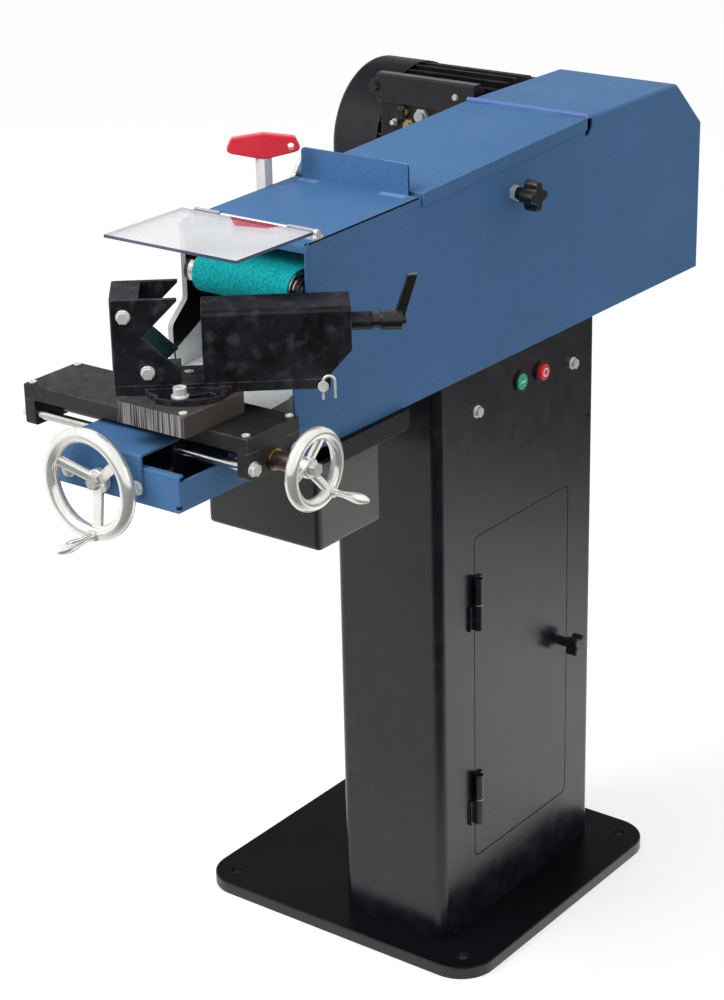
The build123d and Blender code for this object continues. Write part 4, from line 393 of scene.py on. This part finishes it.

# Edge colours are partly real wear and partly painted highlight; the lighter blue, red and green edge tints
# are painted highlight
finishes = {
    "column_paint": dict(
        base=linear(14, 13, 22), shade=linear(23, 21, 33), speck=linear(46, 44, 56), edge=linear(84, 83, 90),
        rough=(0.2, 0.3), grain=420.0, grain_height=0.00012, bump=0.5, speck_share=(0.68, 0.82),
        top_specular=0.05, second=(linear(34, 33, 38), 40.0, (0.5, 0.75))),
    "base_paint": dict(
        base=linear(11, 11, 14), shade=linear(22, 21, 27), speck=linear(44, 43, 50), edge=linear(70, 69, 76),
        rough=(0.3, 0.42), grain=800.0, speck_share=(0.7, 0.85), top_specular=0.02, cloud=3.0),
    # The spark box's right side carries painted light
    "box_paint": dict(
        base=linear(36, 35, 36), shade=linear(54, 52, 52), speck=linear(78, 76, 74),
        edge=linear(130, 127, 122), rough=(0.26, 0.38), cloud=9.0, grain=800.0, speck_share=(0.6, 0.78),
        layers=(painted_lit_side,)),
    "frame_paint": frame_black,
    # The head frame's front plate edges carry a painted highlight
    "plate_paint": dict(frame_black, specular=0.3, layers=(painted_front_highlight,)),
    "vise_paint": dict(
        base=linear(12, 11, 15), shade=linear(40, 37, 45), speck=linear(70, 66, 72),
        edge=linear(150, 146, 142), rough=(0.22, 0.4), cloud=26.0, grain=420.0, speck_share=(0.68, 0.82),
        specular=0.3, top_specular=0.03, second=(linear(62, 58, 66), 52.0, (0.56, 0.78))),
    "table_steel": dict(
        base=linear(34, 32, 31), shade=linear(52, 50, 48), speck=linear(104, 100, 94),
        edge=linear(160, 152, 142), metallic=0.2, rough=(0.34, 0.5), cloud=16.0, grain=380.0,
        speck_scale=320.0, speck_share=(0.66, 0.8), top_specular=0.05),
    # The lighter blue edges and the hinge's paler top are painted highlights
    "blue_paint": dict(blue, edge=linear(134, 164, 206), layers=(painted_hinge_highlight,)),
    # Painted highlights at the work stop's foot, and painted shade along the front lid's right side
    "front_lid_paint": dict(blue, layers=(painted_foot_highlights, painted_gap_shade)),
    "motor_paint": dict(
        motor_black, edge=linear(120, 116, 116), rough=(0.28, 0.42), specular=0.3, top_specular=0.02),
    "lid_paint": dict(
        motor_black, edge=linear(176, 173, 172), rough=(0.2, 0.34), specular=0.4, top_specular=0.1,
        layers=(zinc_screw,)),
    "saw_cut_steel": dict(
        base=linear(72, 68, 66), shade=linear(92, 87, 84), speck=linear(58, 54, 52),
        edge=linear(170, 162, 152), metallic=0.2, rough=(0.34, 0.5), cloud=24.0, grain=260.0,
        grain_height=0.0002, bump=0.6, speck_scale=260.0, speck_share=(0.5, 0.7),
        stretch=(1.0, 1.0, 0.04), top_specular=0.1, layers=(saw_lines,)),
    "ground_steel": dict(
        base=linear(196, 195, 192), shade=linear(220, 219, 216), speck=linear(170, 168, 165),
        metallic=1.0, rough=(0.14, 0.26), cloud=30.0, grain=900.0, stretch=(0.15, 1.0, 1.0)),
    "dark_steel": dict(
        base=linear(70, 62, 58), shade=linear(92, 84, 78), speck=linear(48, 43, 40),
        edge=linear(150, 142, 134), metallic=0.7, rough=(0.28, 0.42), cloud=40.0, grain=500.0,
        layers=(bright_nut,)),
    "zinc": dict(
        base=linear(226, 228, 224), shade=linear(242, 243, 238), speck=linear(204, 206, 202),
        edge=linear(250, 250, 246), metallic=0.4, rough=(0.12, 0.26), cloud=70.0, grain=700.0),
    "pale_zinc": dict(
        base=linear(230, 226, 222), shade=linear(240, 237, 233), speck=linear(214, 210, 206),
        edge=linear(246, 244, 240), metallic=0.05, rough=(0.3, 0.44), cloud=40.0, grain=500.0),
    "fittings": dict(
        base=linear(26, 26, 27), shade=linear(40, 39, 40), speck=linear(60, 58, 58),
        edge=linear(200, 198, 190), metallic=0.4, rough=(0.26, 0.4), cloud=60.0, grain=600.0,
        layers=(gland_tones,)),
    "galvanised": dict(
        base=linear(240, 240, 240), shade=linear(250, 250, 250), speck=linear(220, 220, 222),
        metallic=0.05, rough=(0.3, 0.46), cloud=40.0, grain=300.0, speck_scale=180.0),
    "polished_wheel": dict(
        base=linear(236, 236, 230), shade=linear(248, 248, 242), speck=linear(214, 214, 208),
        metallic=0.64, rough=(0.1, 0.24), cloud=45.0, grain=260.0, grain_height=0.00008, bump=0.35),
    "cast_aluminium": dict(
        base=linear(176, 176, 174), shade=linear(196, 196, 194), speck=linear(150, 150, 148),
        metallic=1.0, rough=(0.32, 0.5), cloud=40.0, grain=320.0, bump=0.5),
    "strip_aluminium": dict(
        base=linear(226, 226, 230), shade=linear(238, 238, 240), speck=linear(210, 210, 215),
        metallic=0.6, rough=(0.3, 0.4), cloud=30.0, grain=600.0),
    "rubber": dict(
        base=linear(30, 30, 31), shade=linear(38, 38, 38), speck=linear(52, 51, 50),
        rough=(0.6, 0.75), grain=260.0, grain_height=0.0002, bump=0.5),
    "abrasive": dict(
        base=linear(2, 164, 170), shade=linear(10, 178, 184), speck=linear(0, 124, 124),
        rough=(0.7, 0.86), cloud=12.0, grain=330.0, grain_height=0.0012, bump=0.9, speck_scale=360.0,
        speck_share=(0.42, 0.74), specular=0.15, second=(linear(34, 196, 200), 300.0, (0.48, 0.8))),
    "bronze": dict(
        base=linear(176, 128, 72), shade=linear(196, 148, 90), speck=linear(140, 98, 52),
        edge=linear(220, 180, 120), metallic=1.0, rough=(0.24, 0.38), cloud=60.0),
    "black_plastic": dict(
        base=linear(14, 14, 16), shade=linear(22, 22, 24), speck=linear(44, 44, 47), edge=linear(80, 80, 82),
        rough=(0.24, 0.36), cloud=40.0, grain=1400.0, grain_height=0.00004),
    "red_plastic": dict(
        base=linear(238, 46, 62), shade=linear(246, 58, 72), speck=linear(222, 38, 52),
        edge=linear(248, 128, 132), rough=(0.22, 0.34), cloud=30.0, grain=1100.0, grain_height=0.00003,
        specular=0.35),
    "button_red": dict(
        button, base=linear(236, 42, 58), shade=linear(246, 54, 70), speck=linear(222, 36, 50),
        edge=linear(246, 128, 132)),
    "button_green": dict(
        button, base=linear(48, 184, 134), shade=linear(58, 198, 146), speck=linear(40, 166, 120),
        edge=linear(140, 214, 184)),
    "mark_white": dict(
        base=linear(232, 232, 230), shade=linear(244, 244, 242), speck=linear(220, 220, 218),
        rough=(0.4, 0.5), cloud=90.0, edge_radius=0.0002),
    "winding": dict(
        base=linear(104, 74, 50), shade=linear(126, 92, 60), speck=linear(80, 58, 40),
        metallic=0.4, rough=(0.4, 0.55), grain=900.0),
}


def clear_sheet(name, edge=linear(52, 62, 98), film=(linear(249, 249, 252), linear(253, 253, 255)),
                film_scale=14.0, film_detail=5.0, film_solid=(0.54, 0.64), edge_solid=0.9, gloss_scale=30.0,
                rough=(0.02, 0.05), shadow_share=0.15):
    """Clear glossy sheet with a pale white film in patches, partly solid, and dark cut edges."""
    graph = Graph(bpy.data.materials.new(name))
    flat = graph.ranged(graph.product(graph.facing("Z"), graph.facing("Z")), *sheet_turn)
    haze = graph.patches(film_scale, noise_span, film_detail)
    solid = graph.mixed(flat, edge_solid, graph.ranged(haze, 0.0, 1.0, *film_solid), "FLOAT")
    # Light falls through the sheet on to what lies below it
    held = graph.ranged(graph.rays("Is Shadow Ray", "Is Diffuse Ray"), 0.0, 1.0, 1.0, shadow_share)
    return graph.dress({
        "Base Color": graph.mixed(flat, edge, graph.mixed(haze, *film)),
        "Metallic": flat,
        "Roughness": graph.ranged(graph.noise(gloss_scale), *noise_span, *rough),
        "Alpha": graph.product(solid, held),
    })


materials = {name: finish(name, **values) for name, values in finishes.items()}
materials["clear_sheet"] = clear_sheet("clear_sheet")

finish_nodes = {
    "base_paint": ("base_plate",),
    "column_paint": ("column", "column_door"),
    "box_paint": ("spark_box",),
    "frame_paint": ("roller_fork", "feed_carriage"),
    "plate_paint": ("head_frame",),
    "vise_paint": ("swivel_plate", "fixed_jaw", "moving_jaw"),
    "table_steel": ("cross_table", "table_end_blocks"),
    "blue_paint": ("head_cover", "rear_lid", "feed_tray", "feed_saddle"),
    "front_lid_paint": ("front_lid",),
    "motor_paint": ("motor_housing", "motor_end_shields", "fan_cowl", "terminal_box"),
    "lid_paint": ("terminal_lid",),
    "saw_cut_steel": ("swivel_block",),
    "ground_steel": ("contact_roller", "roller_bearings", "roller_axle", "platen", "motor_shaft",
                     "motor_bearings", "hex_key_shaft", "feed_rods", "feed_screw", "cross_rods"),
    "dark_steel": ("cross_screw",),
    "zinc": ("lid_hinge_pin", "tension_lever", "frame_bolts", "table_fasteners", "jaw_pin"),
    "pale_zinc": ("key_holder",),
    "fittings": ("terminal_glands",),
    "galvanised": ("spark_chute",),
    "polished_wheel": ("front_handwheel", "right_handwheel"),
    "cast_aluminium": ("drive_wheel",),
    "strip_aluminium": ("shield_strip",),
    "rubber": ("drive_tyre",),
    "abrasive": ("abrasive_belt",),
    "bronze": ("feed_nuts", "cross_bush"),
    "black_plastic": ("door_knob", "switch_block", "motor_fan", "tracking_knob", "clamp_lever"),
    "red_plastic": ("hex_key_grip",),
    "button_red": ("stop_button",),
    "button_green": ("start_button",),
    "winding": ("motor_stator",),
    "clear_sheet": ("shield",),
}
for finish_name, node_names in finish_nodes.items():
    for node_name in node_names:
        for slot in nodes[node_name].material_slots:
            slot.material = materials[finish_name]


# Small pieces that ride on the bodies

def lathe(mesh, profile, sides, closed=False):
    """Turns rings of (radius, height) about Z, with flat ends unless the profile is closed."""
    rings = []
    for radius, height in profile:
        ring = []
        for number in range(sides):
            angle = 2 * math.pi * number / sides
            ring.append(mesh.verts.new((radius * math.cos(angle), radius * math.sin(angle), height)))
        rings.append(ring)
    pairs = list(zip(rings, rings[1:]))
    if closed:
        pairs.append((rings[-1], rings[0]))
    else:
        mesh.faces.new(list(reversed(rings[0])))
        mesh.faces.new(rings[-1])
    for low, high in pairs:
        for number in range(sides):
            after = (number + 1) % sides
            mesh.faces.new((low[number], low[after], high[after], high[number]))


def hex_bolt(mesh, flats, height):
    """A washer with bevelled rims and a hex head with a chamfered top."""
    corner = flats / math.sqrt(3)
    edge = corner * washer_edge_share
    rim = corner * washer_rim_share
    rim_low, rim_high, washer_top = (height * share for share in washer_levels)
    lathe(mesh, ((edge, 0.0), (rim, rim_low), (rim, rim_high), (edge, washer_top)), round_sides)
    chamfer = height * head_chamfer_level
    lathe(mesh, ((corner, washer_top), (corner, chamfer), (corner * head_top_share, height)), hex_sides)


def flat_ring(mesh, outer, inner, height):
    """A washer about Z."""
    lathe(mesh, ((inner, 0.0), (outer, 0.0), (outer, height), (inner, height)), round_sides, closed=True)


def bar_mark(mesh, length, width, height):
    """A bar with round ends, lying along X."""
    outline = []
    straight = (length - width) / 2
    for number in range(arc_steps + 1):
        angle = math.pi * number / arc_steps
        outline.append((straight + math.sin(angle) * width / 2, -math.cos(angle) * width / 2))
    outline += [(-x, -y) for x, y in outline]
    low = [mesh.verts.new((x, y, 0.0)) for x, y in outline]
    high = [mesh.verts.new((x, y, height)) for x, y in outline]
    mesh.faces.new(list(reversed(low)))
    mesh.faces.new(high)
    for number in range(len(outline)):
        after = (number + 1) % len(outline)
        mesh.faces.new((low[number], low[after], high[after], high[number]))


def add_piece(name, body, finish_name, place, direction, shape, *sizes):
    """Makes a piece about Z, stands it at a place along a direction and lets it ride on a body."""
    mesh = bmesh.new()
    shape(mesh, *sizes)
    data = bpy.data.meshes.new(name)
    mesh.to_mesh(data)
    mesh.free()
    data.materials.append(materials[finish_name])
    piece = bpy.data.objects.new(name, data)
    turn = Vector(direction).to_track_quat("Z", "Y").to_matrix().to_4x4()
    piece.matrix_world = Matrix.Translation(place) @ turn
    bpy.context.scene.collection.objects.link(piece)
    bpy.context.view_layer.update()
    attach(piece, body)


def cap_place(node_name):
    """Middle of a button's face."""
    low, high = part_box(node_name)
    return Vector((high[0], (low[1] + high[1]) / 2, (low[2] + high[2]) / 2))


right = (1, 0, 0)
up = (0, 0, 1)
vise_front = (math.sin(math.radians(vise_turn)), -math.cos(math.radians(vise_turn)), 0.0)
add_piece("start_mark", "start", "mark_white", cap_place("start_button"), right,
          bar_mark, start_bar_length, start_bar_width, mark_height)
add_piece("stop_mark", "stop", "mark_white", cap_place("stop_button"), right,
          flat_ring, stop_ring_outer, stop_ring_inner, mark_height)
for number, spot in enumerate(jaw_bolts):
    add_piece(f"jaw_bolt_{number + 1}", "turntable", "zinc", spot, vise_front,
              hex_bolt, jaw_bolt_flats, jaw_bolt_height)
add_piece("bar_screw", "turntable", "zinc", bar_screw, up,
          flat_ring, bar_screw_outer, bar_screw_inner, bar_screw_height)
# A thin black bar stands for the screw's slot: painted shade in its recess
add_piece("bar_screw_slot_shade", "turntable", "black_plastic", bar_screw, up,
          bar_mark, bar_slot_length, bar_slot_width, bar_slot_height)
for number, level in enumerate(hinge_levels):
    spot = (*hinge_axis, level - hinge_washer_height / 2)
    add_piece(f"hinge_washer_{number + 1}", "stand", "bronze", spot, up,
              flat_ring, hinge_washer_outer, hinge_washer_inner, hinge_washer_height)


# Studio: floor, sky, lamps and camera

def mirrored_floor(graph):
    """What gloss sees of the floor: bright around the machine, dark far behind it and towards the camera."""
    floor_nodes = graph.tree.nodes
    front = graph.ranged(graph.along("Y"), *mirror_front_y)
    back = graph.ranged(graph.along("Y"), *mirror_back_y)
    diagonal = graph.worked("SUBTRACT", graph.along("X"), graph.along("Y"))
    towards_camera = graph.ranged(diagonal, *mirror_diagonal)
    glow = graph.add("ShaderNodeEmission")
    graph.feed(graph.product(front, back, towards_camera), glow.inputs["Strength"])
    either = graph.add("ShaderNodeMixShader")
    sources = (graph.rays("Is Glossy Ray"), floor_nodes["Principled BSDF"].outputs[0], glow.outputs[0])
    for source, socket in zip(sources, either.inputs):
        graph.feed(source, socket)
    graph.feed(either.outputs[0], floor_nodes["Material Output"].inputs["Surface"])


def make_floor():
    half = floor_size / 2
    corners = [(-half, -half, 0), (half, -half, 0), (half, half, 0), (-half, half, 0)]
    mesh = bpy.data.meshes.new("floor")
    mesh.from_pydata(corners, [], [range(len(corners))])
    floor = bpy.data.objects.new("floor", mesh)
    bpy.context.scene.collection.objects.link(floor)
    graph = Graph(bpy.data.materials.new("floor"))
    material = graph.dress({
        "Base Color": floor_colour,
        "Roughness": floor_roughness,
        "Specular IOR Level": floor_specular,
        "Emission Color": white,
        "Emission Strength": graph.product(graph.rays(*seen_rays), floor_glow),
    })
    mirrored_floor(graph)
    mesh.materials.append(material)


def make_sky():
    """Plain white where it is looked at, and less bright as a light."""
    world = bpy.data.worlds.new("studio")
    bpy.context.scene.world = world
    graph = Graph(world)
    background = graph.tree.nodes["Background"]
    graph.feed(white, background.inputs["Color"])
    level = graph.ranged(graph.rays(*seen_rays), 0.0, 1.0, sky_level, sky_seen_level)
    graph.feed(level, background.inputs["Strength"])


def make_lamp(name, place, target, size, power):
    light = bpy.data.lights.new(name, "AREA")
    light.shape = "DISK"
    light.size = size
    light.energy = power
    lamp = bpy.data.objects.new(name, light)
    lamp.location = place
    lamp.rotation_euler = (Vector(target) - Vector(place)).to_track_quat("-Z", "Y").to_euler()
    bpy.context.scene.collection.objects.link(lamp)


def make_camera():
    azimuth = math.radians(camera_azimuth)
    elevation = math.radians(camera_elevation)
    roll = math.radians(camera_roll)
    reach = math.cos(elevation)
    level = Vector((math.cos(azimuth), math.sin(azimuth), 0))
    back = Vector((math.sin(azimuth) * reach, -math.cos(azimuth) * reach, math.sin(elevation)))
    upright = back.cross(level)
    turned_right = math.cos(roll) * level + math.sin(roll) * upright
    turned_up = -math.sin(roll) * level + math.cos(roll) * upright
    data = bpy.data.cameras.new("camera")
    data.lens = camera_lens
    data.sensor_width = camera_sensor
    camera = bpy.data.objects.new("camera", data)
    turn = Matrix((turned_right, turned_up, back)).transposed()
    camera.matrix_world = Matrix.Translation(camera_place) @ turn.to_4x4()
    bpy.context.scene.collection.objects.link(camera)
    bpy.context.scene.camera = camera


make_floor()
make_sky()
for lamp_name, lamp_values in lamps.items():
    make_lamp(lamp_name, **lamp_values)
make_camera()
bpy.context.scene.view_settings.view_transform = "Standard"
